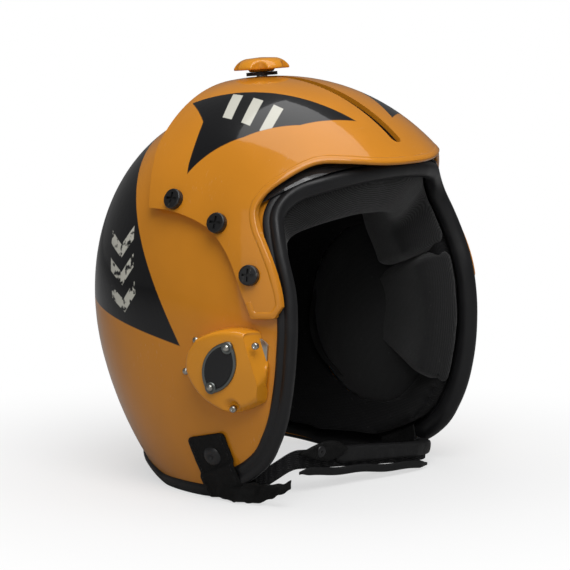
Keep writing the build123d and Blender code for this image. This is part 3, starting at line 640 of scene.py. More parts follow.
def housing_markings(tree, place, color):
    """Black swept dart each side of the slot, with three slanted pale bars on it."""
    up = calc(tree, "SUBTRACT", dot(tree, place, (0, 0, 1)), axis_point.z)
    ahead = calc(tree, "SUBTRACT", axis_point.y, dot(tree, place, (0, 1, 0)))
    turn = times(tree, calc(tree, "ARCTAN2", up, ahead), dart_round)
    side = calc(tree, "ABSOLUTE", dot(tree, place, (1, 0, 0)))
    arc = dart_round * pi / 180
    dart = inside_outline(tree, turn, side, [(58 * arc, 0.018), (99.6 * arc, 0.0556),
                                             (85.7 * arc, 0.0945), (73.3 * arc, 0.0737),
                                             (63.9 * arc, 0.051)])
    notch = inside_outline(tree, turn, side, [(90 * arc, 0.0715), (101 * arc, 0.0540),
                                              (101 * arc, 0.1), (86 * arc, 0.0965)])
    dart = times(tree, dart, calc(tree, "SUBTRACT", 1.0, notch))
    color = mix_colors(tree, dart, color, BLACK_PAINT)
    slant = calc(tree, "ADD", turn, times(tree, side, bar_slope))
    mask = times(tree, stripes(tree, slant, bar_start, bar_pitch),
                 between(tree, slant, bar_start, bar_end),
                 between(tree, side, bar_inner, bar_outer), dart)
    return mix_colors(tree, mask, color, PALE_PAINT)


def grained(name, base, worn, cells, bump, distance, roughness=None, shine=0.35):
    """Leather, rubber or plastic."""
    made, tree, shader, place = new_material(name)
    skin = add_node(tree, "ShaderNodeGroup", {"Place": place, "Cells": cells, "Base": base,
                                              "Worn": worn}, node_tree=grain).outputs
    dull = skin["Roughness"]
    if roughness is not None:
        dull = ramp(tree, dull, 0.42, 0.62, roughness - 0.05, roughness + 0.05)
    feed(tree, shader, {"Base Color": skin["Color"], "Roughness": dull,
                        "Specular IOR Level": shine})
    add_bump(tree, shader, skin["Height"], bump, distance)
    return made


def cloth_material(name, base, thread, rows, bump, lint, sheen):
    made, tree, shader, place = new_material(name)
    weave = add_node(tree, "ShaderNodeGroup", {"Place": place, "Rows": rows, "Base": base,
                                               "Thread": thread, "Lint": lint},
                     node_tree=knit).outputs
    feed(tree, shader, {"Base Color": weave["Color"], "Roughness": 0.95,
                        "Specular IOR Level": 0.2, "Sheen Weight": sheen, "Sheen Roughness": 0.5})
    add_bump(tree, shader, weave["Height"], bump, 0.0008)
    return made


def metal(name, color, roughness, metallic=1.0):
    """Worn metal, or enamel and lacquer where metallic is 0."""
    made, tree, shader, place = new_material(name)
    finish = add_node(tree, "ShaderNodeGroup", {"Place": place, "Paint": color, "Shade": 0.75,
                                                "Scuffs": 0.8}, node_tree=worn_paint).outputs
    dull = ramp(tree, finish["Roughness"], 0.3, 0.65, roughness, roughness + 0.25)
    feed(tree, shader, {"Base Color": finish["Color"], "Roughness": dull, "Metallic": metallic})
    add_bump(tree, shader, finish["Height"], 0.05, 0.001)
    return made


def smoke_glass():
    made, tree, shader, place = new_material("smoke_visor")
    film = clouds(tree, place, 40.0, 4.0)
    feed(tree, shader, {
        "Roughness": ramp(tree, film, 0.45, 0.75, 0.03, 0.10),
        "Base Color": mix_colors(tree, film, (0.05, 0.05, 0.055, 1), (0.08, 0.08, 0.08, 1)),
        "Transmission Weight": 0.7, "IOR": 1.49})
    return made


ORANGE = linear(222, 142, 34)
# The castings' paint is a brighter copy of the shell's orange: painted light that lifts the
# receivers and the knob above the shell
ORANGE_WITH_PAINTED_LIGHT = linear(238, 156, 36)
shell_paint = orange_paint("shell_paint", ORANGE, shell_markings)
housing_paint = orange_paint("housing_paint", ORANGE, housing_markings)
casting_paint_with_painted_light = orange_paint("casting_paint_with_painted_light", ORANGE_WITH_PAINTED_LIGHT, coat_roughness=0.12)
roll_rubber = grained("roll_rubber", (0.012, 0.012, 0.013, 1), (0.022, 0.022, 0.023, 1), 1500.0,
                      0.08, 0.0004, roughness=0.40)
tab_leather = grained("tab_leather", (0.003, 0.003, 0.003, 1), (0.010, 0.0095, 0.009, 1), 900.0,
                      0.35, 0.0006, shine=0.22)
sleeve_leather = grained("sleeve_leather", (0.008, 0.008, 0.0085, 1), (0.02, 0.02, 0.02, 1),
                         1100.0, 0.25, 0.0005)
black_plastic = grained("black_plastic", (0.012, 0.012, 0.012, 1), (0.025, 0.025, 0.025, 1),
                        1800.0, 0.1, 0.0003)
liner_cloth = cloth_material("liner_cloth", (0.0045, 0.0045, 0.005, 1),
                             (0.014, 0.014, 0.0145, 1), 330.0, 0.5, 0.15, 0.10)
pad_cloth = cloth_material("pad_cloth", (0.014, 0.014, 0.0145, 1), (0.036, 0.036, 0.0365, 1),
                           420.0, 0.5, 0.15, 0.30)
webbing = cloth_material("webbing", (0.008, 0.008, 0.009, 1), (0.035, 0.035, 0.036, 1), 260.0,
                         0.9, 0.2, 0.12)
bright_metal = metal("bright_metal", linear(196, 194, 186), 0.28)
dull_metal = metal("dull_metal", linear(128, 132, 130), 0.38)
black_metal = metal("black_metal", (0.012, 0.012, 0.013, 1), 0.34, metallic=0.0)
enamel = metal("badge_enamel", (0.010, 0.010, 0.011, 1), 0.25, metallic=0.0)
visor_glass = smoke_glass()

# Materials for the CAD nodes that stay
for finish, nodes in (
        (shell_paint, ["outer_shell"]), (housing_paint, ["visor_housing"]),
        (visor_glass, ["visor_lens"]), (black_metal, ["housing_screws"]),
        (bright_metal, ["housing_spacers", "screw_nuts", "knob_stud", "receiver_plate_left",
                        "receiver_plate_right", "receiver_catch_left", "receiver_catch_right"]),
        (black_plastic, ["visor_centre_track", "visor_side_track_left", "visor_side_track_right",
                         "visor_slide_block", "knob_washer", "ear_cup_left", "ear_cup_right",
                         "earphone_left", "earphone_right"])):
    for node in nodes:
        for material_slot in cad[node].material_slots:
            material_slot.material = finish


def mm(*points):
    """Points of a profile, given in millimetres."""
    return [(first / 1000, second / 1000) for first, second in points]


# Rubber edge roll: a flat flange on the shell, a round bead and an inner flank
bead_profile = mm(
    (9.0, -3.3), (9.1, 0.4), (9.0, 1.2), (8.6, 1.8), (8.0, 2.1), (6.6, 2.2), (5.4, 2.1),
    (4.7, 1.9), (4.3, 2.3), (3.6, 3.1), (2.6, 3.7), (1.4, 4.0), (0.3, 3.8), (-0.8, 3.3),
    (-1.9, 2.4), (-3.0, 1.1), (-3.8, -0.5), (-4.1, -2.2), (-3.9, -4.0), (-3.1, -5.6),
    (-1.8, -6.6), (-0.2, -7.1), (1.8, -7.1), (3.4, -6.6), (4.4, -5.7), (6.0, -5.4), (8.0, -5.4),
    (9.0, -5.1), (9.0, -3.3))
trim_profile = mm(
    (5.0, -3.3), (5.1, 0.2), (5.0, 1.2), (4.5, 1.9), (3.6, 2.2), (1.0, 2.2), (-1.4, 2.0),
    (-3.0, 1.2), (-3.8, -0.2), (-4.0, -1.6), (-3.8, -3.0), (-3.0, -4.4), (-1.4, -5.2),
    (1.0, -5.4), (3.6, -5.4), (4.5, -5.1), (5.0, -4.4), (5.0, -3.3))


def swept(stations, profile):
    """Closed profile of (back, lift) led along the shell's edge, with closed ends."""
    bm = mapped_grid(len(stations) - 1, len(profile) - 1,
                     lambda column, row: stations[column].at(*profile[row]))
    return close_ends(bm)


face_stations = both_sides([station for station in left_stations if is_face_part(station)])
face_roll = piece(swept(face_stations, bead_profile), "edge_roll", roll_rubber, "black_rubber",
                  ["face_edge_roll"])
subdivide(face_roll)
nape_left = [station for station in left_stations if not is_face_part(station)]
nape_stations = nape_left + [station.mirrored() for station in reversed(nape_left[:-1])]
nape_bm = swept(nape_stations, trim_profile)
for vert in nape_bm.verts:
    vert.co.z = max(vert.co.z, 0)
piece(nape_bm, "nape_trim", roll_rubber, "black_rubber", ["nape_edge_roll"])

# Liner and comfort pads
liner_voxel, liner_rounds = 0.0035, 2
pad_voxel = 0.004
pad_pressure = 4.0
swell_limit = 0.002
ear_cloth_half = (0.0125, 0.046, 0.052)
ear_cloth_inset = 0.001


def soft_pad(bm, node, name, rounds):
    """Cushion in place of a CAD node, its edges softened and blown up a little."""
    pad = piece(remeshed(bm, pad_voxel, rounds), name, pad_cloth, "black_fabric", [node])
    swell(pad, pad_pressure, swell_limit)
    subdivide(pad)


liner = piece(remeshed(merged_copy("energy_liner"), liner_voxel, liner_rounds), "foam_liner",
              liner_cloth, "liner_foam", ["energy_liner"])
subdivide(liner)
soft_pad(merged_copy("crown_pad"), "crown_pad", "crown_cushion", 3)
soft_pad(merged_copy("nape_pad"), "nape_pad", "nape_cushion", 3)
for side, side_name in sides:
    ear_pad = f"ear_pad_{side_name}"
    low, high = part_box(ear_pad)
    ear_middle = (Vector(low) + Vector(high)) / 2
    face_cloth = bmesh.new()
    bmesh.ops.create_icosphere(face_cloth, subdivisions=4, radius=1)
    bmesh.ops.scale(face_cloth, vec=ear_cloth_half, verts=face_cloth.verts)
    bmesh.ops.translate(face_cloth, vec=ear_middle - Vector((side * ear_cloth_inset, 0, 0)),
                        verts=face_cloth.verts)
    soft_pad(join([merged_copy(ear_pad), face_cloth]), ear_pad, f"ear_cushion_{side_name}", 6)

brow_pad_profile = mm(
    (-0.4, -8.0), (-2.6, -14.0), (-5.4, -22.0), (-8.0, -29.0), (-8.4, -33.5), (-6.2, -36.8),
    (-1.0, -38.5), (10.0, -38.5), (30.0, -37.0), (50.0, -33.5), (57.0, -29.0), (59.0, -22.0),
    (54.0, -12.0), (40.0, -7.5), (20.0, -7.0), (6.0, -7.2), (-0.4, -8.0))
cheek_pad_profile = mm(
    (0.4, -8.0), (-1.0, -13.0), (-2.2, -19.0), (-2.6, -24.0), (-1.0, -27.8), (3.0, -29.8),
    (12.0, -30.8), (32.0, -31.2), (54.0, -31.0), (74.0, -30.0), (82.0, -26.0), (84.0, -20.0),
    (76.0, -12.0), (54.0, -7.5), (30.0, -7.0), (8.0, -7.2), (0.4, -8.0))
end_rounding = 9
end_share = 0.35


def cushion_swept(stations, profile):
    """Padded section led round the opening, drawn in at its two ends."""
    last = len(stations) - 1
    middle_back = sum(back for back, lift in profile) / len(profile)
    middle_lift = sum(lift for back, lift in profile) / len(profile)

    def place(column, row):
        near_end = min(1, min(column, last - column) / end_rounding)
        share = end_share + (1 - end_share) * (near_end * (2 - near_end)) ** 0.5
        back, lift = profile[row]
        where = stations[column].at(middle_back + (back - middle_back) * share,
                                    middle_lift + (lift - middle_lift) * share)
        rumple = noise.noise(where * 38) * 0.0013 + noise.noise(where * 120) * 0.0004
        return where + shell.normal(where) * rumple
    return close_ends(mapped_grid(last, len(profile) - 1, place))


def rise(station):
    return station.place.z - axis_point.z


brow_low = 0.042
cheek_low, cheek_high = -0.062, 0.044
cheek_rear = axis_point.y - 0.02
brow_stations = both_sides([station for station in left_stations
                            if rise(station) > brow_low and is_face_part(station)
                            and station.place.y < axis_point.y])
cheek_left = [station for station in left_stations
              if cheek_low < rise(station) < cheek_high and station.place.y < cheek_rear]
cheek_right = [station.mirrored() for station in cheek_left]
for name, stations, profile, replaced in (
        ("brow_cushion", brow_stations, brow_pad_profile, ["brow_pad"]),
        ("cheek_cushion_left", cheek_left, cheek_pad_profile, []),
        ("cheek_cushion_right", cheek_right, cheek_pad_profile, [])):
    cushion = piece(cushion_swept(stations, profile), name, pad_cloth, "black_fabric", replaced)
    subdivide(cushion)

# Cloth binding from the edge roll to the foam liner
binding_profile = mm((1.0, -5.2), (1.0, -4.4), (10.0, -4.4), (20.0, -4.4), (20.0, -5.2),
                     (10.0, -5.2), (1.0, -5.2))
binding_stations = left_stations + [station.mirrored() for station in
                                    reversed(left_stations[1:-1])]
binding_stations.append(left_stations[0])
piece(swept(binding_stations, binding_profile), "liner_binding", liner_cloth, "liner_foam")

# Rounded rim along the front of the visor housing
rim_profile = mm((4.0, -0.02), (2.6, 0.12), (1.2, 0.14), (0.2, 0.04), (-0.4, -0.4), (-0.7, -1.1),
                 (-0.7, -1.9), (-0.4, -2.6), (0.2, -3.0), (1.2, -3.2), (2.6, -3.2), (4.0, -3.0),
                 (4.0, -1.6), (4.0, -0.02))
tip_corner_reaches = [0.003, 0.004]
front_flat = smooth_line(scaled(housing_front[:-1], housing_round), front_outline_steps)
tip_flat = rounded([front_flat[-1]] + scaled((housing_front[-1], housing_rear[-1],
                                              housing_rear[-2]), housing_round),
                   tip_corner_reaches)
front_stations = edge_stations(even(inside_housing(front_flat + tip_flat[1:]), front_steps),
                               housing)
front_stations[0].inward.x = 0
piece(swept(both_sides(front_stations), rim_profile), "housing_rim", housing_paint,
      "orange_gloss")


# Mask receivers: softly rounded castings with a bayonet slot under the front edge
def rim_reach(y, z):
    """How far a side view place lies inside the shell's edge, and which way inwards is."""
    nearest = min(left_stations, key=lambda station: hypot(station.place.y - axis_point.y - y,
                                                           station.place.z - axis_point.z - z))
    away = Vector((y - nearest.place.y + axis_point.y, z - nearest.place.z + axis_point.z))
    inward = Vector((nearest.inward.y, nearest.inward.z)).normalized()
    return away.dot(inward), inward


def smoothstep(low, high, value):
    """Soft rise from 0 at low to 1 at high."""
    share = min(1, max(0, (value - low) / (high - low)))
    return share * share * (3 - 2 * share)


receiver_outline = ((0.63, 0.63), (0.23, 0.80), (-0.20, 0.87), (-0.63, 0.80), (-0.93, 0.53),
                    (-1.0, 0.23), (-0.97, -0.20), (-0.83, -0.50), (-0.57, -0.70),
                    (-0.13, -0.87), (0.23, -0.77), (0.60, -0.53), (0.87, -0.13), (0.87, 0.27),
                    (0.63, 0.63))
receiver_loop = smooth_line(scaled(receiver_outline, receiver_reach), 96)
cover_rows = ([(0.0, 0.0004), (0.5, 0.0004), (0.97, 0.0004), (1.055, 0.0004), (1.058, 0.0012),
               (1.052, 0.0030), (1.042, 0.0055), (1.030, 0.0078), (1.010, 0.0093),
               (0.980, 0.0102), (0.945, 0.0107)]
              + [(0.9 - 0.9 * step / 14, receiver_rise) for step in range(15)])
slot_rows, first_top_row = (3, 4), 7
receiver_slot_z = -0.024
slot_behind = 0.012
slot_lift = 0.0034
slot_half = 0.006
slot_softness = 0.002
front_slope = 0.30
front_draw = 0.0042
front_softness = 0.004
dents = [(-0.0062, -0.0222, 0.0056, 0.0030), (-0.0215, 0.0162, 0.0046, 0.0012)]


def cover_place(side):
    def place(column, row):
        share, lift = cover_rows[row]
        spot = receiver_loop[column] * share
        y, z = receiver_place[0] + spot.x, receiver_place[1] + spot.y
        front = (receiver_front + front_slope * (z - receiver_place[1])
                 + front_draw * lift / receiver_rise)
        if y < front:
            y += (front - y) * smoothstep(0.0, front_softness, front - y)
        reach, inward = rim_reach(y, z)
        short = receiver_margin - reach
        if short > 0:
            y, z = y + inward.x * short, z + inward.y * short
        if row in slot_rows and y < receiver_place[0] - slot_behind:
            lift += slot_lift * (1 - smoothstep(slot_half, slot_half + slot_softness,
                                                abs(z - receiver_slot_z)))
        if row >= first_top_row:
            for dent_y, dent_z, radius, depth in dents:
                far = hypot(y - receiver_place[0] - dent_y, z - receiver_place[1] - dent_z)
                lift -= depth * (1 - smoothstep(radius * 0.55, radius, far))
        return shell.beside(y, z, lift, side)
    return place


for side, side_name in sides:
    subdivide(piece(mapped_grid(len(receiver_loop) - 1, len(cover_rows) - 1, cover_place(side)),
                    f"receiver_casting_{side_name}", casting_paint_with_painted_light, "orange_cast",
                    [f"receiver_cover_{side_name}"]))


def badge_spot(along, across):
    """Side view place on the badge from its middle."""
    return (badge_middle[0] + across * cos(badge_tilt) - along * sin(badge_tilt),
            badge_middle[1] + across * sin(badge_tilt) + along * cos(badge_tilt))


def badge_radius(turn):
    """Reach of the pointed oval at an angle from its long axis."""
    bend = (badge_half_length ** 2 + badge_half_width ** 2) / (2 * badge_half_width)
    shift = bend - badge_half_width
    sine = abs(sin(turn))
    return -shift * sine + (shift ** 2 * sine ** 2 + bend ** 2 - shift ** 2) ** 0.5


badge_rows = [(0.0, 0.0009), (0.35, 0.0009), (0.70, 0.0009), (0.83, 0.0009), (0.86, 0.0010),
              (0.88, 0.0015), (0.93, 0.0017), (0.97, 0.0015), (1.0, 0.0010), (1.0, 0.0002)]
badge_columns = 96
badge_field = 0.85
badge_floor = receiver_rise + 0.0001


def badge_place(side):
    def place(column, row):
        turn = 2 * pi * column / badge_columns
        share, lift = badge_rows[row]
        reach = badge_radius(turn) * share
        y, z = badge_spot(reach * cos(turn), reach * sin(turn))
        return shell.beside(y, z, badge_floor + lift, side)
    return place


for side, side_name in sides:
    badge_bm = mapped_grid(badge_columns, len(badge_rows) - 1, badge_place(side))
    for face in badge_bm.faces:
        point = face.calc_center_median() - axis_point
        away = Vector((point.y - badge_middle[0], point.z - badge_middle[1]))
        along = away.x * -sin(badge_tilt) + away.y * cos(badge_tilt)
        across = away.x * cos(badge_tilt) + away.y * sin(badge_tilt)
        edge = badge_field * badge_radius(atan2(across, along))
        face.material_index = hypot(along, across) < edge
    piece(badge_bm, f"blank_badge_{side_name}", [dull_metal, enamel], "badge_metal",
          [f"badge_plate_{side_name}"])


def domed_heads(spots, lift, profile):
    """Turned heads at side view places on both sides of the shell."""
    heads = []
    for side, _ in sides:
        for y, z in spots:
            seat = shell.beside(y, z, lift, side)
            heads.append(lathe(profile, seat, shell.normal(seat), head_steps))
    return join(heads)


rivet_profile = mm((0, 1.4), (0.8, 1.3), (1.4, 1.0), (1.9, 0.5), (2.2, 0.0), (2.2, -0.4),
                   (0, -0.4))
screw_profile = mm((0, 0.8), (0.7, 0.8), (0.9, 1.3), (1.4, 1.4), (1.9, 1.0), (2.2, 0.4),
                   (2.2, -1.4), (0, -1.4))
boss_profile = mm((0, 1.9), (2.6, 1.9), (3.1, 2.2), (3.6, 1.9), (3.9, 1.2), (3.9, 0.1), (0, 0.1))
boss_top = 0.0018
upper_screw_sink, lower_screw_sink = 0.0006, 0.0014
shell_rivet_lift = 0.0001
badge_spots = [badge_spot(badge_boss_reach, 0), badge_spot(-badge_boss_reach, 0)]
upper_screw, lower_screw, *shell_rivets = [
    (receiver_place[0] + y, receiver_place[1] + z)
    for y, z in receiver_screw_places + receiver_rivet_places]
for name, spots, lift, profile, finish, slot, replaced in (
        ("badge_bosses", badge_spots, badge_floor, boss_profile, dull_metal, "badge_metal", []),
        ("badge_heads", badge_spots, badge_floor + boss_top, rivet_profile, bright_metal,
         "bright_metal", ["badge_rivets"]),
        ("receiver_heads_upper", [upper_screw], receiver_rise - upper_screw_sink, screw_profile,
         bright_metal, "bright_metal", ["receiver_screws"]),
        ("receiver_heads_lower", [lower_screw], receiver_rise - lower_screw_sink, screw_profile,
         bright_metal, "bright_metal", []),
        ("shell_rivets", shell_rivets, shell_rivet_lift, rivet_profile, bright_metal,
         "bright_metal", ["receiver_rivets"])):
    piece(domed_heads(spots, lift, profile), name, finish, slot, replaced)

# Knob, its casting edges softened
knob_voxel, knob_rounds = 0.0005, 4
piece(remeshed(merged_copy("visor_knob"), knob_voxel, knob_rounds), "knob_cap", casting_paint_with_painted_light,
      "orange_cast", ["visor_knob"], body="knob")

# Leather strap tabs that hug the shell, turn under its rim and crumple inside it
tab_columns, tab_outer_rows, tab_turn_rows, tab_inner_rows = 24, 34, 10, 8
tab_across = Vector((cos(tab_lean), -sin(tab_lean)))
tab_down = Vector((-sin(tab_lean), -cos(tab_lean)))
tab_below_rim = 0.0030
tab_step = 0.0004
tab_shortest, tab_longest = 0.020, 0.060
tab_corner, tab_corner_share = 0.0022, 0.16
tab_hem = 0.0005
tab_slack = 0.0004
tab_lift = 0.0011
flange_lift = 0.0021
flange_from, flange_to = 0.0125, 0.0095
tab_turn_out, tab_turn_round, tab_turn_middle = 0.0030, 0.0051, -0.0025
tab_inner_run, tab_inner_fall = 0.012, 0.0040
tab_ripple, tab_grain, tab_dip = 0.0009, 0.00025, 0.0004


def tab_spot(across, down):
    """Side view place on a tab, from its middle."""
    return tab_middle + tab_across * across + tab_down * down


def tab_length(across):
    """How far down the tab meets the under side of the edge roll, at a place across it."""
    down = tab_shortest
    while down < tab_longest and rim_reach(*tab_spot(across, down))[0] >= -tab_below_rim:
        down += tab_step
    return down


tab_lengths = [tab_length(tab_half_width * (2 * column / tab_columns - 1))
               for column in range(tab_columns + 1)]


def tab_place(side):
    def place(column, row):
        share = 2 * column / tab_columns - 1
        across = tab_half_width * share
        length = tab_lengths[column]
        hem = tab_hem * smoothstep(0.70, 0.80, abs(share))
        if row <= tab_outer_rows:
            corner = tab_corner * (1 - min(1, (1 - abs(share)) / tab_corner_share) ** 0.5)
            down = corner + (length - corner) * row / tab_outer_rows
            reach = rim_reach(*tab_spot(across, down))[0]
            lift = tab_lift + flange_lift * smoothstep(flange_from, flange_to, reach) + hem
        elif row <= tab_outer_rows + tab_turn_rows:
            turn = pi * (row - tab_outer_rows) / tab_turn_rows
            down = length + tab_turn_out * sin(turn)
            lift = tab_turn_middle + (tab_turn_round + hem) * cos(turn)
        else:
            inner = (row - tab_outer_rows - tab_turn_rows) / tab_inner_rows
            down = length - tab_inner_run * inner
            lift = tab_turn_middle - tab_turn_round - tab_inner_fall * inner
        where = shell.beside(*tab_spot(across, down), lift, side)
        soft = smoothstep(0.015, 0.040, down)
        ripple = noise.noise(where * 95 + Vector((3, side * 5, 0))) * tab_ripple * soft
        ripple += noise.noise(where * 260) * tab_grain
        where = where + shell.normal(where) * max(ripple, -tab_dip)
        where.z = max(where.z, floor_gap)
        return where
    return place


for side, side_name in sides:
    tab_bm = mapped_grid(tab_columns, tab_outer_rows + tab_turn_rows + tab_inner_rows,
                         tab_place(side))
    thicken(piece(tab_bm, f"leather_tab_{side_name}", tab_leather, "black_leather",
                  [f"strap_tab_{side_name}"], recalc=False), tab_wall - tab_slack)

snap_profile = mm((0, 0.4), (0.8, 0.5), (1.4, 1.1), (2.4, 1.6), (3.8, 1.5), (5.2, 1.0),
                  (6.2, 0.3), (6.5, -0.3), (0, -0.3))
snap_sink = 0.0018
piece(domed_heads([tab_spot(0, snap_drop)], tab_rise - snap_sink, snap_profile),
      "tab_snap_caps", black_metal, "black_metal", ["tab_snaps"])

# Chin strap, its padded sleeve and the leaf-shaped flap
strap_steps = 120
near_end_sag = 0.0115
strap_turn = Matrix.Rotation(strap_lean, 4, "Y")
strap_line = smooth_line([Vector(spot) for spot in strap_route], strap_steps)


def strap_place(exact, out, up):
    """Place by the strap's route: out towards the face's front, and up from its lower edge."""
    index = min(int(exact), strap_steps - 1)
    spot = at_index(strap_line, exact)
    run = (strap_line[min(index + 2, strap_steps)] - strap_line[max(index - 1, 0)]).normalized()
    spot = spot + Vector((run.y, -run.x)) * out
    sag = near_end_sag * smoothstep(-0.046, -0.080, spot.x)
    return strap_turn @ Vector((spot.x, spot.y, strap_base + up - sag))


band_profile = mm((-0.9, 0.4), (-1.0, 6.0), (-0.9, 11.6), (-0.4, 12.0), (0.4, 12.0), (0.9, 11.6),
                  (1.0, 6.0), (0.9, 0.4), (0.4, 0.0), (-0.4, 0.0), (-0.9, 0.4))
strap_from, strap_to = 3, 117
band_columns = 100


def band_place(column, row):
    out, up = band_profile[row]
    return strap_place(strap_from + (strap_to - strap_from) * column / band_columns, out, up)


piece(close_ends(mapped_grid(band_columns, len(band_profile) - 1, band_place)), "chin_webbing",
      webbing, "black_webbing", ["chin_strap"])

sleeve_columns, sleeve_rows = 110, 32
sleeve_start = next(index for index, spot in enumerate(strap_line) if spot.x > -0.017)
sleeve_end = next(index for index, spot in enumerate(strap_line) if spot.x > 0.079)
sleeve_power = 0.62
sleeve_out, sleeve_up, sleeve_thinning = 0.0042, 0.0056, 0.0012
sleeve_middle = 0.0080


def sleeve_place(column, row):
    share = column / sleeve_columns
    turn = 2 * pi * row / sleeve_rows
    ends = min(1, 0.80 + 0.20 * smoothstep(0, 0.05, min(share, 1 - share)))
    fold = 1 + 0.05 * sin(share * 21) + 0.03 * sin(share * 47 + 1)
    out = sleeve_out * ends * abs(sin(turn)) ** sleeve_power * (fold if sin(turn) > 0 else -1)
    up = (sleeve_up - sleeve_thinning * share) * ends * abs(cos(turn)) ** sleeve_power
    up *= 1 if cos(turn) > 0 else -1
    where = strap_place(sleeve_start + (sleeve_end - sleeve_start) * share, out,
                        sleeve_middle + up)
    ripple = noise.noise(where * 110) * 0.0005 + noise.noise(where * 320) * 0.0002
    return where + Vector((0, -1, 0.3)) * ripple


sleeve = piece(close_ends(mapped_grid(sleeve_columns, sleeve_rows, sleeve_place)),
               "padded_sleeve", sleeve_leather, "black_leather", ["chin_sleeve"])
seam_columns, seam_rows = 90, 12
seam_before, seam_after = 22, 14
seam_out, seam_half_wall = 0.0044, 0.0012
seam_fall, seam_half_height, seam_wave = 0.0016, 0.0026, 0.0005


def seam_place(column, row):
    share = column / seam_columns
    turn = 2 * pi * row / seam_rows
    ends = 0.4 + 0.6 * smoothstep(0, 0.08, min(share, 1 - share))
    exact = sleeve_start - seam_before + (sleeve_end - sleeve_start + seam_before
                                          - seam_after) * share
    return strap_place(exact, seam_out + seam_half_wall * sin(turn) * ends,
                       -seam_fall + seam_half_height * cos(turn) * ends
                       + seam_wave * sin(share * 17))


piece(close_ends(mapped_grid(seam_columns, seam_rows, seam_place)), "sleeve_seam",
      sleeve_leather, "black_leather")

leather_wall = 0.0014
flap_columns, flap_rows = 36, 14
flap_half_height, flap_before, flap_length = 0.0064, 0.0150, 0.0390
flap_out, flap_belly, flap_fan, flap_rise = 0.0030, 0.0016, 0.0012, 0.002
flap_rumple = 0.0005
flap_snap_steps = 24
flap_run = Vector((0.040, -0.006, 0)).normalized()
flap_front = Vector((flap_run.y, -flap_run.x, 0))
flap_middle = Vector((-0.038, -0.058, strap_base + 0.010)) + flap_run * 0.004


def flap_place(column, row):
    share, height = column / flap_columns, 2 * row / flap_rows - 1
    half = flap_half_height * sin(pi * share ** 1.4) ** 0.75 if 0 < share < 1 else 0
    along = flap_length * share - flap_before
    belly = flap_belly * (1 - height * height) + flap_fan * share
    out = flap_out + belly + flap_rumple * noise.noise(Vector((share * 5, height * 2, 1)))
    return strap_turn @ (flap_middle + flap_run * along + flap_front * out
                         + Vector((0, 0, height * half + flap_rise * share)))


thicken(piece(mapped_grid(flap_columns, flap_rows, flap_place), "leaf_flap", tab_leather,
              "black_leather", ["strap_flap"], recalc=False), leather_wall)
flap_snap_along, flap_snap_out, flap_snap_up = 0.002, 0.0050, 0.001
flap_snap_width, flap_snap_height = 0.6, 0.7
flap_snap_spot = strap_turn @ (flap_middle + flap_run * flap_snap_along
                               + flap_front * flap_snap_out + Vector((0, 0, flap_snap_up)))
flap_snap_profile = [(radius * flap_snap_width, height * flap_snap_height)
                     for radius, height in snap_profile]
piece(lathe(flap_snap_profile, flap_snap_spot, strap_turn @ flap_front, flap_snap_steps),
      "flap_snap_cap", black_metal, "black_metal", ["strap_snap"])

# Crumpled loose end of the strap on the wearer's right
tail_columns, tail_rows = 80, 12
tail_half_height, tail_narrowing = 0.0068, 0.0040
tail_floor_gap = 0.0011
tail_line = smooth_line([Vector(spot) for spot in (
    (-0.0950, -0.0330, 0.0085), (-0.0945, -0.0450, 0.0070), (-0.0925, -0.0580, 0.0072),
    (-0.0895, -0.0700, 0.0092), (-0.0865, -0.0800, 0.0122), (-0.0855, -0.0850, 0.0150))],
    tail_columns)


def tail_place(column, row):
    share, height = column / tail_columns, 2 * row / tail_rows - 1
    half = tail_half_height - tail_narrowing * smoothstep(0.45, 1.0, share)
    fold = 0.0010 * sin(share * 9 + height * 1.1) + 0.0006 * sin(share * 23 - height * 1.6)
    spot = tail_line[column]
    where = spot + Vector((-fold, 0, height * half + 0.0004 * sin(share * 40) * abs(height)))
    where += Vector((-1, 0, 0.4)) * noise.noise(spot * 110 + Vector((0, 0, height))) * 0.0009
    where.z = max(where.z, tail_floor_gap)
    return where


thicken(piece(mapped_grid(tail_columns, tail_rows, tail_place), "strap_tail", tab_leather,
              "black_leather", recalc=False), leather_wall)
stitch_half = (0.00028, 0.00028, 0.0010)
stitch_lift = 0.00085


def tab_stitches(side):
    """Lock stitches along a tab's two edges."""
    stitches = []
    where = tab_place(side)
    for column in (2, tab_columns - 2):
        for row in range(2, tab_outer_rows, 2):
            spot, ahead = where(column, row), where(column, row + 1)
            stitch = bmesh.new()
            bmesh.ops.create_icosphere(stitch, subdivisions=1, radius=1)
            bmesh.ops.scale(stitch, vec=stitch_half, verts=stitch.verts)
            turn = (ahead - spot).to_track_quat("Z", "Y").to_matrix().to_4x4()
            seat = (spot + ahead) / 2 + shell.normal(spot) * stitch_lift
            bmesh.ops.transform(stitch, matrix=Matrix.Translation(seat) @ turn,
                                verts=stitch.verts)
            stitches.append(stitch)
    return join(stitches)


for side, side_name in sides:
    piece(tab_stitches(side), f"tab_stitches_{side_name}", webbing, "black_webbing")

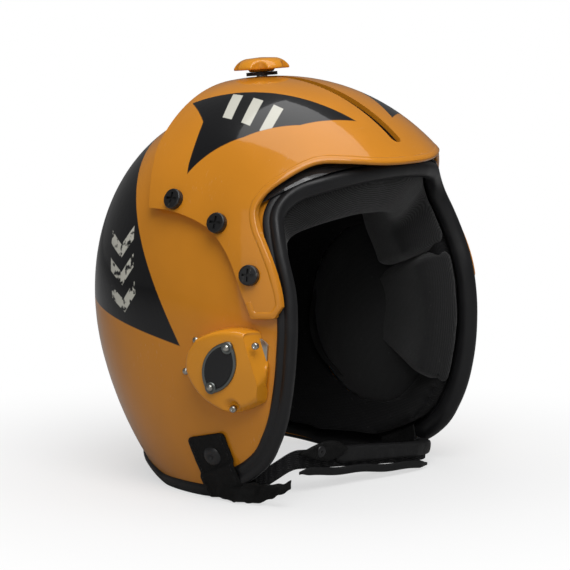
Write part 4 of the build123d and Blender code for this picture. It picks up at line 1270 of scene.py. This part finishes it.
# Floor, white to the camera away from the helmet
floor_bm = bmesh.new()
bmesh.ops.create_grid(floor_bm, x_segments=1, y_segments=1, size=6)
floor_mesh = bpy.data.meshes.new("floor")
floor_bm.to_mesh(floor_mesh)
floor_bm.free()
floor = bpy.data.objects.new("floor", floor_mesh)
scene.collection.objects.link(floor)
floor_finish, floor_tree, floor_shader, floor_place = new_material("floor_paper")
white = add_node(floor_tree, "ShaderNodeEmission", {"Strength": 1.0})
far = add_node(floor_tree, "ShaderNodeVectorMath", {0: floor_place}, operation="LENGTH")
whiteness = ramp(floor_tree, far.outputs["Value"], 0.12, 0.36, 0.60, 1.0)
to_camera = floor_tree.nodes.new("ShaderNodeLightPath").outputs["Is Camera Ray"]
feed(floor_tree, floor_shader, {"Roughness": 0.9, "Base Color": mix_colors(
    floor_tree, to_camera, (0.40, 0.40, 0.40, 1), (0.92, 0.92, 0.92, 1))})
floor_mix = add_node(floor_tree, "ShaderNodeMixShader", {
    0: times(floor_tree, whiteness, to_camera), 1: floor_shader.outputs[0],
    2: white.outputs[0]})
feed(floor_tree, floor_tree.nodes["Material Output"], {0: floor_mix.outputs[0]})
floor.data.materials.append(floor_finish)

# Camera, its lens and shift given in the picture's pixels
picture_width = 570
focal_length = 2800
shift_right, shift_up = -7, 2
camera_distance = 1.8
view_turn, view_rise = radians(-50), radians(8)
camera_back = Vector((sin(view_turn) * cos(view_rise), -cos(view_turn) * cos(view_rise),
                      sin(view_rise)))
camera_target = Vector((0, -0.014, 0.121))
camera_data = bpy.data.cameras.new("camera")
camera = bpy.data.objects.new("camera", camera_data)
scene.collection.objects.link(camera)
camera.location = camera_target + camera_back * camera_distance
camera.rotation_euler = (-camera_back).to_track_quat("-Z", "Y").to_euler()
camera_data.sensor_width = 36
camera_data.lens = focal_length / picture_width * camera_data.sensor_width
camera_data.shift_x = shift_right / picture_width
camera_data.shift_y = shift_up / picture_width
scene.camera = camera

# Lamps and sky
view_right = Vector((cos(view_turn), sin(view_turn), 0))
middle = Vector((0, 0, 0.12))
for name, place, size, power in (
        ("key", camera_back * 1.3 + view_right * 0.3 + Vector((0, 0, 1.5)), (1.6, 1.3), 27),
        ("top", Vector((0.1, 0.0, 1.8)), (1.5, 1.5), 14),
        ("fill", camera_back * 1.5 - view_right * 0.7 + Vector((0, 0, 0.3)), (1.4, 1.2), 2.5)):
    light = bpy.data.lights.new(name, "AREA")
    light.shape = "RECTANGLE"
    light.size, light.size_y = size
    light.energy = power
    lamp = bpy.data.objects.new(name, light)
    lamp.location = middle + place
    lamp.rotation_euler = (-place).to_track_quat("-Z", "Y").to_euler()
    scene.collection.objects.link(lamp)

sky_level = 0.14
world = bpy.data.worlds.new("studio")
scene.world = world
world.use_nodes = True
world_tree = world.node_tree
rays = world_tree.nodes.new("ShaderNodeLightPath").outputs
seen = calc(world_tree, "MAXIMUM", rays["Is Camera Ray"], rays["Is Transmission Ray"])
seen = calc(world_tree, "MAXIMUM", seen, times(world_tree, rays["Is Glossy Ray"], sky_level))
feed(world_tree, world_tree.nodes["Background"], {
    "Color": (1, 1, 1, 1), "Strength": calc(world_tree, "MAXIMUM", seen, sky_level)})
scene.view_settings.view_transform = "Standard"
